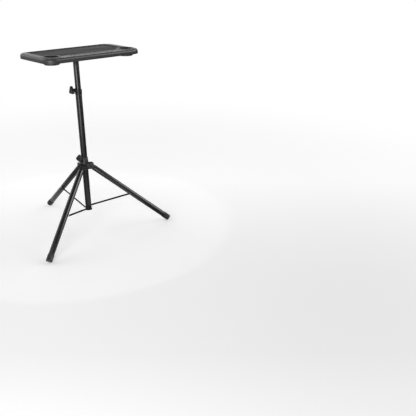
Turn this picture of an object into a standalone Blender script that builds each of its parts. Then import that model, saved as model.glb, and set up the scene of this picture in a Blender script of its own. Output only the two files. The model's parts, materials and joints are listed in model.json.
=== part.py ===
"""Tripod tray desk that stands over a bike trainer, in metres with +Z up.

The rider sits on the -Y side and faces +Y, and the tray's long side runs along X. The origin is on the
floor, in the middle of the box round the desk. A leg's own frame has +X outward along its azimuth.
"""

import math

import bmesh
import bpy
from mathutils import Matrix, Vector

# Clearances
REST_GAP = 0.0003
POLE_RUNNING_GAP = 0.0005
EYE_CLEARANCE = 0.001
MAT_CLEARANCE = 0.0006
CUT_MARGIN = 0.003

# Lower pole
OUTER_TUBE_RADIUS = 0.0175
OUTER_TUBE_WALL = 0.0015
OUTER_TUBE_BOTTOM = 0.1189
OUTER_TUBE_TOP = 0.815
BASE_CAP_WALL = 0.0022
BASE_CAP_FLOOR = 0.002
BASE_CAP_GRIP = 0.0061

# Upper pole
INNER_POLE_WALL = 0.0015
INNER_POLE_LENGTH = 0.600
GLIDE_HEAD = 0.006
GLIDE_SPIGOT = 0.020

# Height collar on top of the outer tube
COLLAR_RADIUS = 0.0192
COLLAR_SOCKET_DEPTH = 0.0125
COLLAR_NECK_HEIGHT = 0.014
COLLAR_BOSS_RADIUS = 0.0105
COLLAR_BOSS_REACH = 0.0303
HEIGHT_SCREW_RISE = 0.0100
HEIGHT_SCREW_AZIMUTH = math.radians(175.5)
HEIGHT_KNOB_TURN = math.radians(-57.0)

# Clamp screws and their knobs
STUD_RADIUS = 0.003
STUD_HOLE_CLEARANCE = 0.0003
KNOB_THICKNESS = 0.013
KNOB_LOBE_REACH = 0.0149
KNOB_LOBE_RADIUS = 0.0093
KNOB_EDGE_RADIUS = 0.003
KNOB_NECK_RADIUS = 0.008
KNOB_NECK_LENGTH = 0.0025
KNOB_BORE_DEPTH = 0.0085
KNOB_DISH_RADIUS = 0.0065
KNOB_DISH_DEPTH = 0.003
KNOB_LOBES = 3

# Legs: round tubes that hinge on the sliding hub
LEGS = (("left", math.radians(210.0)), ("right", math.radians(330.0)), ("front", math.radians(90.0)))
LEG_SLOPE = math.radians(40.4)
LEG_LENGTH = 0.5784
LEG_TUBE_RADIUS = 0.016
LEG_TUBE_WALL = 0.0015
LEG_TUBE_START = 0.0195
KNUCKLE_EYE_RADIUS = 0.014
KNUCKLE_COLLAR = 0.003
KNUCKLE_PLUG = 0.028
PIN_RADIUS = 0.003
PIN_HOLE_CLEARANCE = 0.0003
PIN_HEAD_RADIUS = 0.0055
PIN_HEAD_HEIGHT = 0.002

# Foot caps, cut flat where they stand
FOOT_WALL = 0.0015
FOOT_TOE = 0.012
FOOT_SLEEVE = 0.040
FOOT_EDGE_RADIUS = 0.002
FOOT_CUT = 0.0024

# Leg hub: heights are taken from the leg pivots
HUB_WALL = 0.0032
HUB_BELOW_PIVOT = 0.0155
HUB_ABOVE_PIVOT = 0.055
HUB_TAPER_HEIGHT = 0.0125
HUB_TAPER_INSET = 0.002
CLEVIS_BELOW_PIVOT = 0.014
CLEVIS_ABOVE_PIVOT = 0.018
CLEVIS_BEYOND_PIVOT = 0.0148
CLEVIS_CHEEK = 0.003
CLEVIS_LOW_CORNER = 0.015
CLEVIS_TOP_CORNER = 0.014
HUB_BOSS_RADIUS = 0.009
HUB_BOSS_REACH = 0.0255
HUB_SCREW_RISE = 0.0536
HUB_SCREW_AZIMUTH = math.radians(184.0)
HUB_KNOB_TURN = math.radians(-76.5)

# Braces: flat bars beside the legs
BRACE_HEIGHT = 0.010
BRACE_THICKNESS = 0.0025
BRACE_ROOT_RISE = 0.013
BRACE_PIN_ALONG_LEG = 0.3043
RIVET_RADIUS = 0.0025
RIVET_HOLE_CLEARANCE = 0.0003
RIVET_HEAD_RADIUS = 0.005
RIVET_HEAD_HEIGHT = 0.002
RIVET_TAIL_RADIUS = 0.004
RIVET_TAIL_HEIGHT = 0.0015

# Tray, measured from the pole axis
TRAY_TOP = 1.039
TRAY_WIDTH = 0.566
TRAY_DEPTH = 0.315
TRAY_CENTRE_Y = -0.056
TRAY_CORNER_RADIUS = 0.055
TRAY_SKIRT = 0.0252
TRAY_WALL = 0.003
TRAY_FLOOR = 0.003
TRAY_EDGE_RADIUS = 0.012
TRAY_FOOT_CHAMFER = 0.001
SIDE_RIM = 0.042
NEAR_RIM = 0.060
FAR_RIM = 0.014
RECESS_DEPTH = 0.0065
RECESS_CORNER_RADIUS = 0.030
RECESS_EDGE_RADIUS = 0.0015
MAT_THICKNESS = 0.0012
PAD_RADIUS = 0.058
PAD_THICKNESS = 0.005
RIB_THICKNESS = 0.002
RIB_HEIGHT = 0.008
RIB_SPACING = 0.080

# Tablet groove in the near rim
GROOVE_LENGTH = 0.270
GROOVE_WIDTH = 0.012
GROOVE_DEPTH = 0.006
GROOVE_FROM_EDGE = 0.040

# Cup holders
CUP_BORE_RADIUS = 0.0355
CUP_WALL = 0.003
CUP_DEPTH = 0.037
CUP_SIDE_INSET = 0.0595
CUP_NEAR_INSET = 0.0665
CUP_LIP_WIDTH = 0.0085
CUP_LIP_HEIGHT = 0.0017
CUP_LIP_ROUNDING = 0.0013
CUP_EDGE_RADIUS = 0.004
CUP_BORDER = 0.004

# Socket on the pole top
FLANGE_RADIUS = 0.052
FLANGE_THICKNESS = 0.003
SOCKET_WALL = 0.0045
SOCKET_LENGTH = 0.034
SOCKET_FILLET = 0.004
TRAY_SCREW_COUNT = 4
TRAY_SCREW_CIRCLE = 0.040
TRAY_SCREW_RADIUS = 0.0019
TRAY_SCREW_HOLE_CLEARANCE = 0.0003
TRAY_SCREW_HEAD_RADIUS = 0.004
TRAY_SCREW_HEAD_HEIGHT = 0.0024
TRAY_SCREW_DRIVE_RADIUS = 0.0015
TRAY_SCREW_BITE = 0.006
CLAMP_SCREW_DROP = 0.020
CLAMP_SCREW_RADIUS = 0.0025
CLAMP_SCREW_HEAD_RADIUS = 0.0045
CLAMP_SCREW_HEAD_HEIGHT = 0.0035
CLAMP_SCREW_KEY_RADIUS = 0.002

# Faces round each kind of turned piece
POLE_SEGMENTS = 28
LEG_SEGMENTS = 24
KNOB_SEGMENTS = 18
SMALL_SEGMENTS = 12
CORNER_STEPS = 5

# A round-ended bar's corner radius, as a share of half its width
ROUND_END = 0.999

# Edges between faces that meet at more than this are sharp
SHARP_ANGLE = math.radians(35.0)

# Sizes that follow from the ones above
INNER_POLE_RADIUS = OUTER_TUBE_RADIUS - OUTER_TUBE_WALL - POLE_RUNNING_GAP
OUTER_TUBE_BORE = OUTER_TUBE_RADIUS - OUTER_TUBE_WALL
HUB_BORE = OUTER_TUBE_RADIUS + REST_GAP
HUB_RADIUS = HUB_BORE + HUB_WALL
PIVOT_REACH = HUB_RADIUS + EYE_CLEARANCE + KNUCKLE_EYE_RADIUS
FOOT_RADIUS = LEG_TUBE_RADIUS + REST_GAP + FOOT_WALL
FOOT_END_HEIGHT = FOOT_RADIUS * math.cos(LEG_SLOPE) - FOOT_CUT
FOOT_END_REACH = PIVOT_REACH + LEG_LENGTH * math.cos(LEG_SLOPE)
PIVOT_HEIGHT = FOOT_END_HEIGHT + LEG_LENGTH * math.sin(LEG_SLOPE)
LEG_TUBE_END = LEG_LENGTH - FOOT_TOE
CLEVIS_HALF_GAP = LEG_TUBE_RADIUS + REST_GAP
CLEVIS_HALF_WIDTH = CLEVIS_HALF_GAP + CLEVIS_CHEEK
BRACE_FACE = max(OUTER_TUBE_RADIUS, LEG_TUBE_RADIUS) + REST_GAP
BRACE_ROOT_HEIGHT = OUTER_TUBE_BOTTOM + BRACE_ROOT_RISE
BRACE_PIN_REACH = PIVOT_REACH + BRACE_PIN_ALONG_LEG * math.cos(LEG_SLOPE)
BRACE_PIN_HEIGHT = PIVOT_HEIGHT - BRACE_PIN_ALONG_LEG * math.sin(LEG_SLOPE)
BRACE_LENGTH = math.hypot(BRACE_PIN_REACH, BRACE_PIN_HEIGHT - BRACE_ROOT_HEIGHT)
BRACE_SLOPE = math.atan2(BRACE_PIN_HEIGHT - BRACE_ROOT_HEIGHT, BRACE_PIN_REACH)
HEIGHT_SCREW_HEIGHT = OUTER_TUBE_TOP + HEIGHT_SCREW_RISE
HUB_SCREW_HEIGHT = PIVOT_HEIGHT + HUB_SCREW_RISE
POCKET_CEILING = -(RECESS_DEPTH + TRAY_FLOOR)
FLANGE_TOP = POCKET_CEILING - PAD_THICKNESS - REST_GAP
FLANGE_UNDERSIDE = FLANGE_TOP - FLANGE_THICKNESS
INNER_POLE_TOP = TRAY_TOP + FLANGE_UNDERSIDE - REST_GAP
INNER_POLE_BOTTOM = INNER_POLE_TOP - INNER_POLE_LENGTH
TRAY_NEAR_EDGE = TRAY_CENTRE_Y - TRAY_DEPTH / 2
CUP_X = TRAY_WIDTH / 2 - CUP_SIDE_INSET
CUP_Y = TRAY_NEAR_EDGE + CUP_NEAR_INSET
CUP_RADIUS = CUP_BORE_RADIUS + CUP_WALL
CUP_LIP_RADIUS = CUP_RADIUS + CUP_LIP_WIDTH
CUP_BORDER_RADIUS = CUP_LIP_RADIUS + CUP_BORDER

# The front foot reaches furthest one way along Y, and the left and right feet the other way
FRONT_REACH = FOOT_END_REACH + FOOT_RADIUS * math.sin(LEG_SLOPE)
REAR_REACH = FOOT_END_REACH / 2 + FOOT_RADIUS * math.hypot(math.sin(LEG_SLOPE) / 2, math.sqrt(0.75))
POLE_Y = (REAR_REACH - FRONT_REACH) / 2

# Finishes: colour, roughness and how metallic
COATED_STEEL = ((0.035, 0.036, 0.038), 0.35, 0.0)
ZINC_STEEL = ((0.55, 0.55, 0.56), 0.30, 1.0)
TRAY_PLASTIC = ((0.060, 0.061, 0.064), 0.45, 0.0)
BLACK_PLASTIC = ((0.020, 0.020, 0.021), 0.40, 0.0)
BLACK_RUBBER = ((0.018, 0.018, 0.018), 0.80, 0.0)

# Turns that lay a piece's own +Z along another axis
ALONG_X = Matrix.Rotation(math.radians(90.0), 4, "Y")
ALONG_Y = Matrix.Rotation(math.radians(-90.0), 4, "X")


def clear_scene():
    for existing in list(bpy.data.objects):
        bpy.data.objects.remove(existing, do_unlink=True)


def frame_at(name, parent=None, location=(0.0, 0.0, 0.0), rotation=(0.0, 0.0, 0.0)):
    """An empty that carries the pieces of one moving group."""
    empty = bpy.data.objects.new(name, None)
    bpy.context.scene.collection.objects.link(empty)
    empty.parent = parent
    empty.location = location
    empty.rotation_euler = rotation
    return empty


def finish_for(name, finish):
    colour, roughness, metallic = finish
    material = bpy.data.materials.new(name)
    material.use_nodes = True
    shader = material.node_tree.nodes["Principled BSDF"]
    shader.inputs["Base Color"].default_value = (*colour, 1.0)
    shader.inputs["Roughness"].default_value = roughness
    shader.inputs["Metallic"].default_value = metallic
    return material


def add_object(name, solid, parent):
    """Turns a bmesh into an object, smooth across gentle edges and sharp at the others."""
    bmesh.ops.recalc_face_normals(solid, faces=solid.faces)
    mesh = bpy.data.meshes.new(name)
    solid.to_mesh(mesh)
    solid.free()
    mesh.shade_smooth()
    mesh.set_sharp_from_angle(angle=SHARP_ANGLE)
    thing = bpy.data.objects.new(name, mesh)
    bpy.context.scene.collection.objects.link(thing)
    thing.parent = parent
    return thing


def piece(name, solid, finish, parent):
    thing = add_object(name, solid, parent)
    thing.data.materials.append(finish_for(name, finish))
    return thing


def combine(target, solid, operation, label):
    """Cuts a solid from a piece, or joins it on, with a Boolean whose tool moves with the piece."""
    tool = add_object(f"{target.name}_{label}", solid, target)
    tool.hide_render = True
    tool.display_type = "WIRE"
    modifier = target.modifiers.new(label, "BOOLEAN")
    modifier.operation = operation
    modifier.solver = "EXACT"
    modifier.object = tool
    return tool


def skin(solid, loops, closed=False, place=None):
    """Adds a solid skinned over loops of points. A loop of one point closes that end as a fan."""
    place = place or Matrix()
    rings = [[solid.verts.new(place @ Vector(point)) for point in loop] for loop in loops]
    pairs = list(zip(rings, rings[1:]))
    if closed:
        pairs.append((rings[-1], rings[0]))
    for first, second in pairs:
        count = max(len(first), len(second))
        for index in range(count):
            corners = [first[index % len(first)], first[(index + 1) % len(first)]]
            corners += [second[(index + 1) % len(second)], second[index % len(second)]]
            solid.faces.new(list(dict.fromkeys(corners)))
    if not closed:
        for ring in (rings[0], rings[-1]):
            if len(ring) > 2:
                solid.faces.new(ring)


def circle(radius, height, segments):
    if radius == 0.0:
        return [(0.0, 0.0, height)]
    step = math.tau / segments
    return [(radius * math.cos(k * step), radius * math.sin(k * step), height) for k in range(segments)]


def turn(solid, profile, segments=SMALL_SEGMENTS, ring=False, place=None):
    """Adds a solid of revolution about +Z from points of (radius, height). A ring's profile is closed."""
    skin(solid, [circle(radius, height, segments) for radius, height in profile], ring, place)


def extrude(solid, outline, low, high, place=None):
    """Adds a prism on an outline of (x, y) points."""
    skin(solid, [[(x, y, level) for x, y in outline] for level in (low, high)], False, place)


def turned(profile, segments=SMALL_SEGMENTS, ring=False, place=None):
    solid = bmesh.new()
    turn(solid, profile, segments, ring, place)
    return solid


def extruded(outline, low, high, place=None):
    solid = bmesh.new()
    extrude(solid, outline, low, high, place)
    return solid


def rod(radius, low, high):
    return [(0.0, low), (radius, low), (radius, high), (0.0, high)]


def tube(radius, wall, low, high):
    return [(radius - wall, low), (radius, low), (radius, high), (radius - wall, high)]


def arc(centre, radius, start, end, steps=3):
    """Points of (radius, height) round a fillet, with the angles in degrees."""
    angles = [math.radians(start + (end - start) * k / steps) for k in range(steps + 1)]
    return [(centre[0] + radius * math.cos(a), centre[1] + radius * math.sin(a)) for a in angles]


def rounded_outline(corners, steps=CORNER_STEPS):
    """Points round a polygon given as (x, y, radius), with an arc at each corner that has a radius."""
    points = []
    for index, (x, y, radius) in enumerate(corners):
        corner = Vector((x, y))
        if radius == 0.0:
            points.append((x, y))
            continue
        back = (Vector(corners[index - 1][:2]) - corner).normalized()
        ahead = (Vector(corners[(index + 1) % len(corners)][:2]) - corner).normalized()
        half = back.angle(ahead) / 2
        centre = corner + (back + ahead).normalized() * radius / math.sin(half)
        first = corner + back * radius / math.tan(half) - centre
        last = corner + ahead * radius / math.tan(half) - centre
        start = math.atan2(first.y, first.x)
        sweep = math.remainder(math.atan2(last.y, last.x) - start, math.tau)
        for step in range(steps + 1):
            angle = start + sweep * step / steps
            points.append((centre.x + radius * math.cos(angle), centre.y + radius * math.sin(angle)))
    return points


def rectangle(west, south, east, north, radius=0.0, steps=CORNER_STEPS):
    corners = [(west, south, radius), (east, south, radius), (east, north, radius), (west, north, radius)]
    return rounded_outline(corners, steps)


def screw_frame(parent, name, height, azimuth):
    """An empty on a clamp screw's axis, with +Z outward from the pole and +X down."""
    return frame_at(name, parent, (0.0, 0.0, height), (0.0, math.radians(90.0), azimuth))


def screw_place(height, azimuth):
    return Matrix.Translation((0.0, 0.0, height)) @ Matrix.Rotation(azimuth, 4, "Z") @ ALONG_X


# Lower pole
def make_outer_tube(parent):
    profile = tube(OUTER_TUBE_RADIUS, OUTER_TUBE_WALL, OUTER_TUBE_BOTTOM, OUTER_TUBE_TOP)
    outer_tube = piece("outer_tube", turned(profile, POLE_SEGMENTS, True), COATED_STEEL, parent)
    hole = rod(RIVET_RADIUS + RIVET_HOLE_CLEARANCE, OUTER_TUBE_BORE / 2, OUTER_TUBE_RADIUS * 2)
    for name, azimuth in LEGS:
        side = Matrix.Rotation(azimuth, 4, "Z") @ Matrix.Translation((0.0, 0.0, BRACE_ROOT_HEIGHT))
        combine(outer_tube, turned(hole, place=side @ ALONG_Y), "DIFFERENCE", f"{name}_rivet_hole")


def make_base_cap(parent):
    bore = OUTER_TUBE_RADIUS + REST_GAP
    radius = bore + BASE_CAP_WALL
    floor = OUTER_TUBE_BOTTOM - REST_GAP
    bottom = floor - BASE_CAP_FLOOR
    edge = BASE_CAP_WALL / 2
    profile = [(0.0, bottom)]
    profile += arc((radius - edge, bottom + edge), edge, -90, 0, 2)
    profile += arc((radius - edge, floor + BASE_CAP_GRIP - edge), edge, 0, 90, 2)
    profile += [(bore, floor + BASE_CAP_GRIP), (bore, floor), (0.0, floor)]
    piece("base_cap", turned(profile, POLE_SEGMENTS), BLACK_PLASTIC, parent)


def make_height_collar(parent):
    bottom = OUTER_TUBE_TOP - COLLAR_SOCKET_DEPTH
    top = OUTER_TUBE_TOP + COLLAR_NECK_HEIGHT
    edge = (COLLAR_RADIUS - INNER_POLE_RADIUS) / 2
    outside = [(0.0, bottom), (COLLAR_RADIUS, bottom)]
    outside += arc((COLLAR_RADIUS - edge, top - edge), edge, 0, 90)
    outside += [(0.0, top)]
    collar = piece("height_collar", turned(outside, POLE_SEGMENTS), BLACK_PLASTIC, parent)
    place = screw_place(HEIGHT_SCREW_HEIGHT, HEIGHT_SCREW_AZIMUTH)
    boss = rod(COLLAR_BOSS_RADIUS, 0.0, COLLAR_BOSS_REACH)
    combine(collar, turned(boss, LEG_SEGMENTS, place=place), "UNION", "boss")
    above = top + COLLAR_BOSS_RADIUS
    socket = OUTER_TUBE_RADIUS + REST_GAP
    neck = INNER_POLE_RADIUS + REST_GAP
    step = OUTER_TUBE_TOP + REST_GAP
    bore = [(0.0, bottom - CUT_MARGIN), (socket, bottom - CUT_MARGIN), (socket, step), (neck, step)]
    bore += [(neck, above), (0.0, above)]
    combine(collar, turned(bore, POLE_SEGMENTS), "DIFFERENCE", "bore")
    hole = rod(STUD_RADIUS + STUD_HOLE_CLEARANCE, INNER_POLE_RADIUS / 2, COLLAR_BOSS_REACH * 2)
    combine(collar, turned(hole, place=place), "DIFFERENCE", "stud_hole")


# Clamp screws, each modelled along +Z of its own screw frame
def knob_angles():
    return [math.tau * (index + 0.5) / KNOB_SEGMENTS for index in range(KNOB_SEGMENTS)]


def knob_outline(inset, height):
    """A rounded triangle, with one lobe along +X."""
    radius = KNOB_LOBE_RADIUS - inset
    points = []
    for angle in knob_angles():
        lobe = math.tau * round(angle * KNOB_LOBES / math.tau) / KNOB_LOBES
        x = KNOB_LOBE_REACH * math.cos(lobe) + radius * math.cos(angle)
        y = KNOB_LOBE_REACH * math.sin(lobe) + radius * math.sin(angle)
        points.append((x, y, height))
    return points


def knob_circle(radius, height):
    """A circle whose points are at the same angles as the outline's."""
    return [(radius * math.cos(angle), radius * math.sin(angle), height) for angle in knob_angles()]


def make_clamp_screw(group, parent, tip, boss_reach, lobe_turn):
    """A stud from its tip at the pole to the inside of its knob, and the knob beyond the boss."""
    neck_start = boss_reach + REST_GAP
    back = neck_start + KNOB_NECK_LENGTH
    face = back + KNOB_THICKNESS
    edge = KNOB_EDGE_RADIUS
    chamfer = STUD_RADIUS / 4
    stud_end = neck_start + KNOB_BORE_DEPTH - REST_GAP
    stud = [(0.0, tip), (STUD_RADIUS - chamfer, tip), (STUD_RADIUS, tip + chamfer)]
    stud += [(STUD_RADIUS, stud_end), (0.0, stud_end)]
    piece(f"{group}_stud", turned(stud), ZINC_STEEL, parent)
    bore = STUD_RADIUS + STUD_HOLE_CLEARANCE
    bore_end = neck_start + KNOB_BORE_DEPTH
    loops = [knob_circle(bore, bore_end), knob_circle(bore, neck_start)]
    loops += [knob_circle(KNOB_NECK_RADIUS, neck_start), knob_circle(KNOB_NECK_RADIUS, back)]
    loops += [knob_outline(edge - r, back + edge - h) for r, h in arc((0.0, 0.0), edge, 90, 0)]
    loops += [knob_outline(edge - r, face - edge + h) for r, h in arc((0.0, 0.0), edge, 0, 90)]
    loops.append(knob_circle(KNOB_DISH_RADIUS, face))
    loops.append(knob_circle(KNOB_DISH_RADIUS - edge / 3, face - KNOB_DISH_DEPTH))
    knob = bmesh.new()
    skin(knob, loops, place=Matrix.Rotation(lobe_turn, 4, "Z"))
    piece(f"{group}_knob", knob, BLACK_PLASTIC, parent)


# Folding tripod
def make_leg_hub(parent):
    """Three clevises, slotted for the leg knuckles, round a sleeve that slides on the outer tube."""
    low = PIVOT_HEIGHT - CLEVIS_BELOW_PIVOT
    high = PIVOT_HEIGHT + CLEVIS_ABOVE_PIVOT
    reach = PIVOT_REACH + CLEVIS_BEYOND_PIVOT
    corners = [(0.0, low, 0.0), (reach, low, CLEVIS_LOW_CORNER)]
    corners += [(reach, high, CLEVIS_TOP_CORNER), (0.0, high, 0.0)]
    outline = rounded_outline([(x, -z, radius) for x, z, radius in corners])
    blocks = []
    for _, azimuth in LEGS:
        place = Matrix.Rotation(azimuth, 4, "Z") @ ALONG_Y
        blocks.append(extruded(outline, -CLEVIS_HALF_WIDTH, CLEVIS_HALF_WIDTH, place))
    hub = piece("leg_hub", blocks[0], COATED_STEEL, parent)
    for (name, _), block in zip(LEGS[1:], blocks[1:]):
        combine(hub, block, "UNION", f"{name}_clevis")
    for name, azimuth in LEGS:
        gap = rectangle(0.0, -CLEVIS_HALF_GAP, reach * 2, CLEVIS_HALF_GAP)
        turned_gap = extruded(gap, low - CUT_MARGIN, high + CUT_MARGIN, Matrix.Rotation(azimuth, 4, "Z"))
        combine(hub, turned_gap, "DIFFERENCE", f"{name}_gap")
    bottom = PIVOT_HEIGHT - HUB_BELOW_PIVOT
    top = PIVOT_HEIGHT + HUB_ABOVE_PIVOT
    chamfer = HUB_WALL / 3
    sleeve = [(0.0, bottom), (HUB_RADIUS - chamfer, bottom), (HUB_RADIUS, bottom + chamfer)]
    sleeve += [(HUB_RADIUS, top - HUB_TAPER_HEIGHT), (HUB_RADIUS - HUB_TAPER_INSET, top - chamfer / 2)]
    sleeve += [(HUB_RADIUS - HUB_TAPER_INSET - chamfer / 2, top), (0.0, top)]
    combine(hub, turned(sleeve, POLE_SEGMENTS), "UNION", "sleeve")
    screw = screw_place(HUB_SCREW_HEIGHT, HUB_SCREW_AZIMUTH)
    boss = rod(HUB_BOSS_RADIUS, 0.0, HUB_BOSS_REACH)
    combine(hub, turned(boss, LEG_SEGMENTS, place=screw), "UNION", "boss")
    over = HUB_BOSS_RADIUS + REST_GAP
    combine(hub, turned(rod(HUB_BORE, bottom - over, top + over), POLE_SEGMENTS), "DIFFERENCE", "bore")
    beyond = CLEVIS_HALF_WIDTH + CUT_MARGIN
    for name, azimuth in LEGS:
        pivot = Matrix.Rotation(azimuth, 4, "Z") @ Matrix.Translation((PIVOT_REACH, 0.0, PIVOT_HEIGHT))
        hole = rod(PIN_RADIUS + PIN_HOLE_CLEARANCE, -beyond, beyond)
        combine(hub, turned(hole, place=pivot @ ALONG_Y), "DIFFERENCE", f"{name}_pin_hole")
    hole = rod(STUD_RADIUS + STUD_HOLE_CLEARANCE, HUB_BORE / 2, HUB_BOSS_REACH * 2)
    combine(hub, turned(hole, place=screw), "DIFFERENCE", "stud_hole")


def make_leg_pin(name, parent):
    """The hinge pin across a clevis, with a domed head at one end and a flat one at the other."""
    seat = CLEVIS_HALF_WIDTH + REST_GAP
    rim = PIN_HEAD_HEIGHT / 2
    profile = [(0.0, -seat - PIN_HEAD_HEIGHT), (PIN_HEAD_RADIUS / 2, -seat - PIN_HEAD_HEIGHT)]
    profile += [(PIN_HEAD_RADIUS, -seat - rim), (PIN_HEAD_RADIUS, -seat), (PIN_RADIUS, -seat)]
    profile += [(PIN_RADIUS, seat), (PIN_HEAD_RADIUS, seat), (PIN_HEAD_RADIUS, seat + rim), (0.0, seat + rim)]
    piece(f"leg_{name}_pin", turned(profile, place=ALONG_Y), COATED_STEEL, parent)


def make_leg(name, parent):
    """A knuckle, tube and foot cap, modelled down the leg along +Z from the pivot."""
    tube_profile = tube(LEG_TUBE_RADIUS, LEG_TUBE_WALL, LEG_TUBE_START, LEG_TUBE_END)
    piece(f"leg_{name}_tube", turned(tube_profile, LEG_SEGMENTS, True), COATED_STEEL, parent)
    make_knuckle(name, parent)
    make_foot(name, parent)


def make_knuckle(name, parent):
    plug = LEG_TUBE_RADIUS - LEG_TUBE_WALL - REST_GAP
    collar_end = LEG_TUBE_START - REST_GAP
    collar_start = collar_end - KNUCKLE_COLLAR
    end = LEG_TUBE_START + KNUCKLE_PLUG
    chamfer = KNUCKLE_COLLAR / 3
    profile = [(0.0, 0.0), (plug, 0.0), (plug, collar_start), (LEG_TUBE_RADIUS - chamfer, collar_start)]
    profile += [(LEG_TUBE_RADIUS, collar_start + chamfer), (LEG_TUBE_RADIUS, collar_end), (plug, collar_end)]
    profile += [(plug, end - chamfer), (plug - chamfer, end), (0.0, end)]
    knuckle = piece(f"leg_{name}_knuckle", turned(profile, LEG_SEGMENTS), BLACK_PLASTIC, parent)
    half = LEG_TUBE_RADIUS
    edge = KNUCKLE_COLLAR / 3
    eye = [(0.0, -half), (KNUCKLE_EYE_RADIUS - edge, -half), (KNUCKLE_EYE_RADIUS, -half + edge)]
    eye += [(KNUCKLE_EYE_RADIUS, half - edge), (KNUCKLE_EYE_RADIUS - edge, half), (0.0, half)]
    combine(knuckle, turned(eye, LEG_SEGMENTS, place=ALONG_Y), "UNION", "eye")
    hole = rod(PIN_RADIUS + PIN_HOLE_CLEARANCE, -half - CUT_MARGIN, half + CUT_MARGIN)
    combine(knuckle, turned(hole, place=ALONG_Y), "DIFFERENCE", "pin_hole")


def make_foot(name, parent):
    """A rubber cap over the tube's end, with its lowest corner cut off level with the floor."""
    bore = LEG_TUBE_RADIUS + REST_GAP
    mouth = LEG_LENGTH - FOOT_SLEEVE
    edge = FOOT_EDGE_RADIUS
    lip = FOOT_WALL / 2
    profile = [(0.0, LEG_TUBE_END + REST_GAP), (bore, LEG_TUBE_END + REST_GAP), (bore, mouth)]
    profile += arc((FOOT_RADIUS - lip, mouth + lip), lip, -90, 0, 2)
    profile += arc((FOOT_RADIUS - edge, LEG_LENGTH - edge), edge, 0, 90)
    profile += [(0.0, LEG_LENGTH)]
    foot = piece(f"foot_{name}", turned(profile, LEG_SEGMENTS), BLACK_RUBBER, parent)
    size = FOOT_SLEEVE
    leg_pivot = Matrix.Translation((PIVOT_REACH, 0.0, PIVOT_HEIGHT))
    to_leg = (leg_pivot @ Matrix.Rotation(math.radians(90.0) + LEG_SLOPE, 4, "Y")).inverted()
    under = rectangle(FOOT_END_REACH - 2 * size, -size, FOOT_END_REACH + size, size)
    combine(foot, extruded(under, -size, 0.0, to_leg), "DIFFERENCE", "floor")


def make_brace(name, parent):
    """A flat bar along +X from its root pivot, and the rivet that it holds at the leg's side."""
    half = BRACE_HEIGHT / 2
    outline = rectangle(-half, -half, BRACE_LENGTH + half, half, half * ROUND_END)
    brace = piece(f"brace_{name}", extruded(outline, 0.0, BRACE_THICKNESS, ALONG_Y), COATED_STEEL, parent)
    hole = rod(RIVET_RADIUS + RIVET_HOLE_CLEARANCE, -BRACE_THICKNESS, 2 * BRACE_THICKNESS)
    for reach, label in ((0.0, "root_hole"), (BRACE_LENGTH, "leg_hole")):
        place = Matrix.Translation((reach, 0.0, 0.0)) @ ALONG_Y
        combine(brace, turned(hole, place=place), "DIFFERENCE", label)
    start = LEG_TUBE_RADIUS + REST_GAP - BRACE_FACE
    seat = BRACE_THICKNESS + REST_GAP
    profile = [(0.0, start), (RIVET_RADIUS, start)] + rivet_head(seat)
    place = Matrix.Translation((BRACE_LENGTH, 0.0, 0.0)) @ ALONG_Y
    piece(f"brace_{name}_pivot", turned(profile, place=place), ZINC_STEEL, parent)


def rivet_head(seat):
    """The shank's last edge and the domed head beyond it."""
    edge = RIVET_HEAD_HEIGHT / 3
    top = seat + RIVET_HEAD_HEIGHT
    points = [(RIVET_RADIUS, seat), (RIVET_HEAD_RADIUS, seat), (RIVET_HEAD_RADIUS, seat + edge)]
    return points + [(RIVET_HEAD_RADIUS - 2 * edge, top - edge / 2), (0.0, top)]


def make_root_rivet(name, parent):
    """The rivet through the outer tube's wall that a brace turns on, along +Y of the leg's frame."""
    tail_end = math.sqrt(OUTER_TUBE_BORE ** 2 - RIVET_TAIL_RADIUS ** 2) - REST_GAP
    tail_start = tail_end - RIVET_TAIL_HEIGHT
    profile = [(0.0, tail_start), (RIVET_TAIL_RADIUS, tail_start), (RIVET_TAIL_RADIUS, tail_end)]
    profile += [(RIVET_RADIUS, tail_end)] + rivet_head(BRACE_FACE + BRACE_THICKNESS + REST_GAP)
    piece(f"brace_{name}_rivet", turned(profile, place=ALONG_Y), ZINC_STEEL, parent)


# Upper pole
def make_inner_pole(parent):
    profile = tube(INNER_POLE_RADIUS, INNER_POLE_WALL, INNER_POLE_BOTTOM, INNER_POLE_TOP)
    piece("inner_pole", turned(profile, POLE_SEGMENTS, True), COATED_STEEL, parent)
    shoulder = INNER_POLE_BOTTOM - REST_GAP
    head = OUTER_TUBE_BORE - REST_GAP
    spigot = INNER_POLE_RADIUS - INNER_POLE_WALL - REST_GAP
    edge = GLIDE_HEAD / 6
    glide = [(0.0, shoulder - GLIDE_HEAD), (head - edge, shoulder - GLIDE_HEAD)]
    glide += [(head, shoulder - GLIDE_HEAD + edge), (head, shoulder), (spigot, shoulder)]
    top = shoulder + GLIDE_SPIGOT
    glide += [(spigot, top - edge), (spigot - edge, top), (0.0, top)]
    piece("pole_glide", turned(glide, POLE_SEGMENTS), BLACK_PLASTIC, parent)


# Tray, with heights taken down from its top
def tray_outline(inset):
    half_width = TRAY_WIDTH / 2 - inset
    half_depth = TRAY_DEPTH / 2 - inset
    low = TRAY_CENTRE_Y - half_depth
    high = TRAY_CENTRE_Y + half_depth
    return rectangle(-half_width, low, half_width, high, TRAY_CORNER_RADIUS - inset)


def recess_outline(grow):
    half = TRAY_WIDTH / 2 - SIDE_RIM + grow
    low = TRAY_NEAR_EDGE + NEAR_RIM - grow
    high = TRAY_NEAR_EDGE + TRAY_DEPTH - FAR_RIM + grow
    return rectangle(-half, low, half, high, RECESS_CORNER_RADIUS + grow)


def at_cup(side):
    return Matrix.Translation((side * CUP_X, CUP_Y, 0.0))


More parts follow.
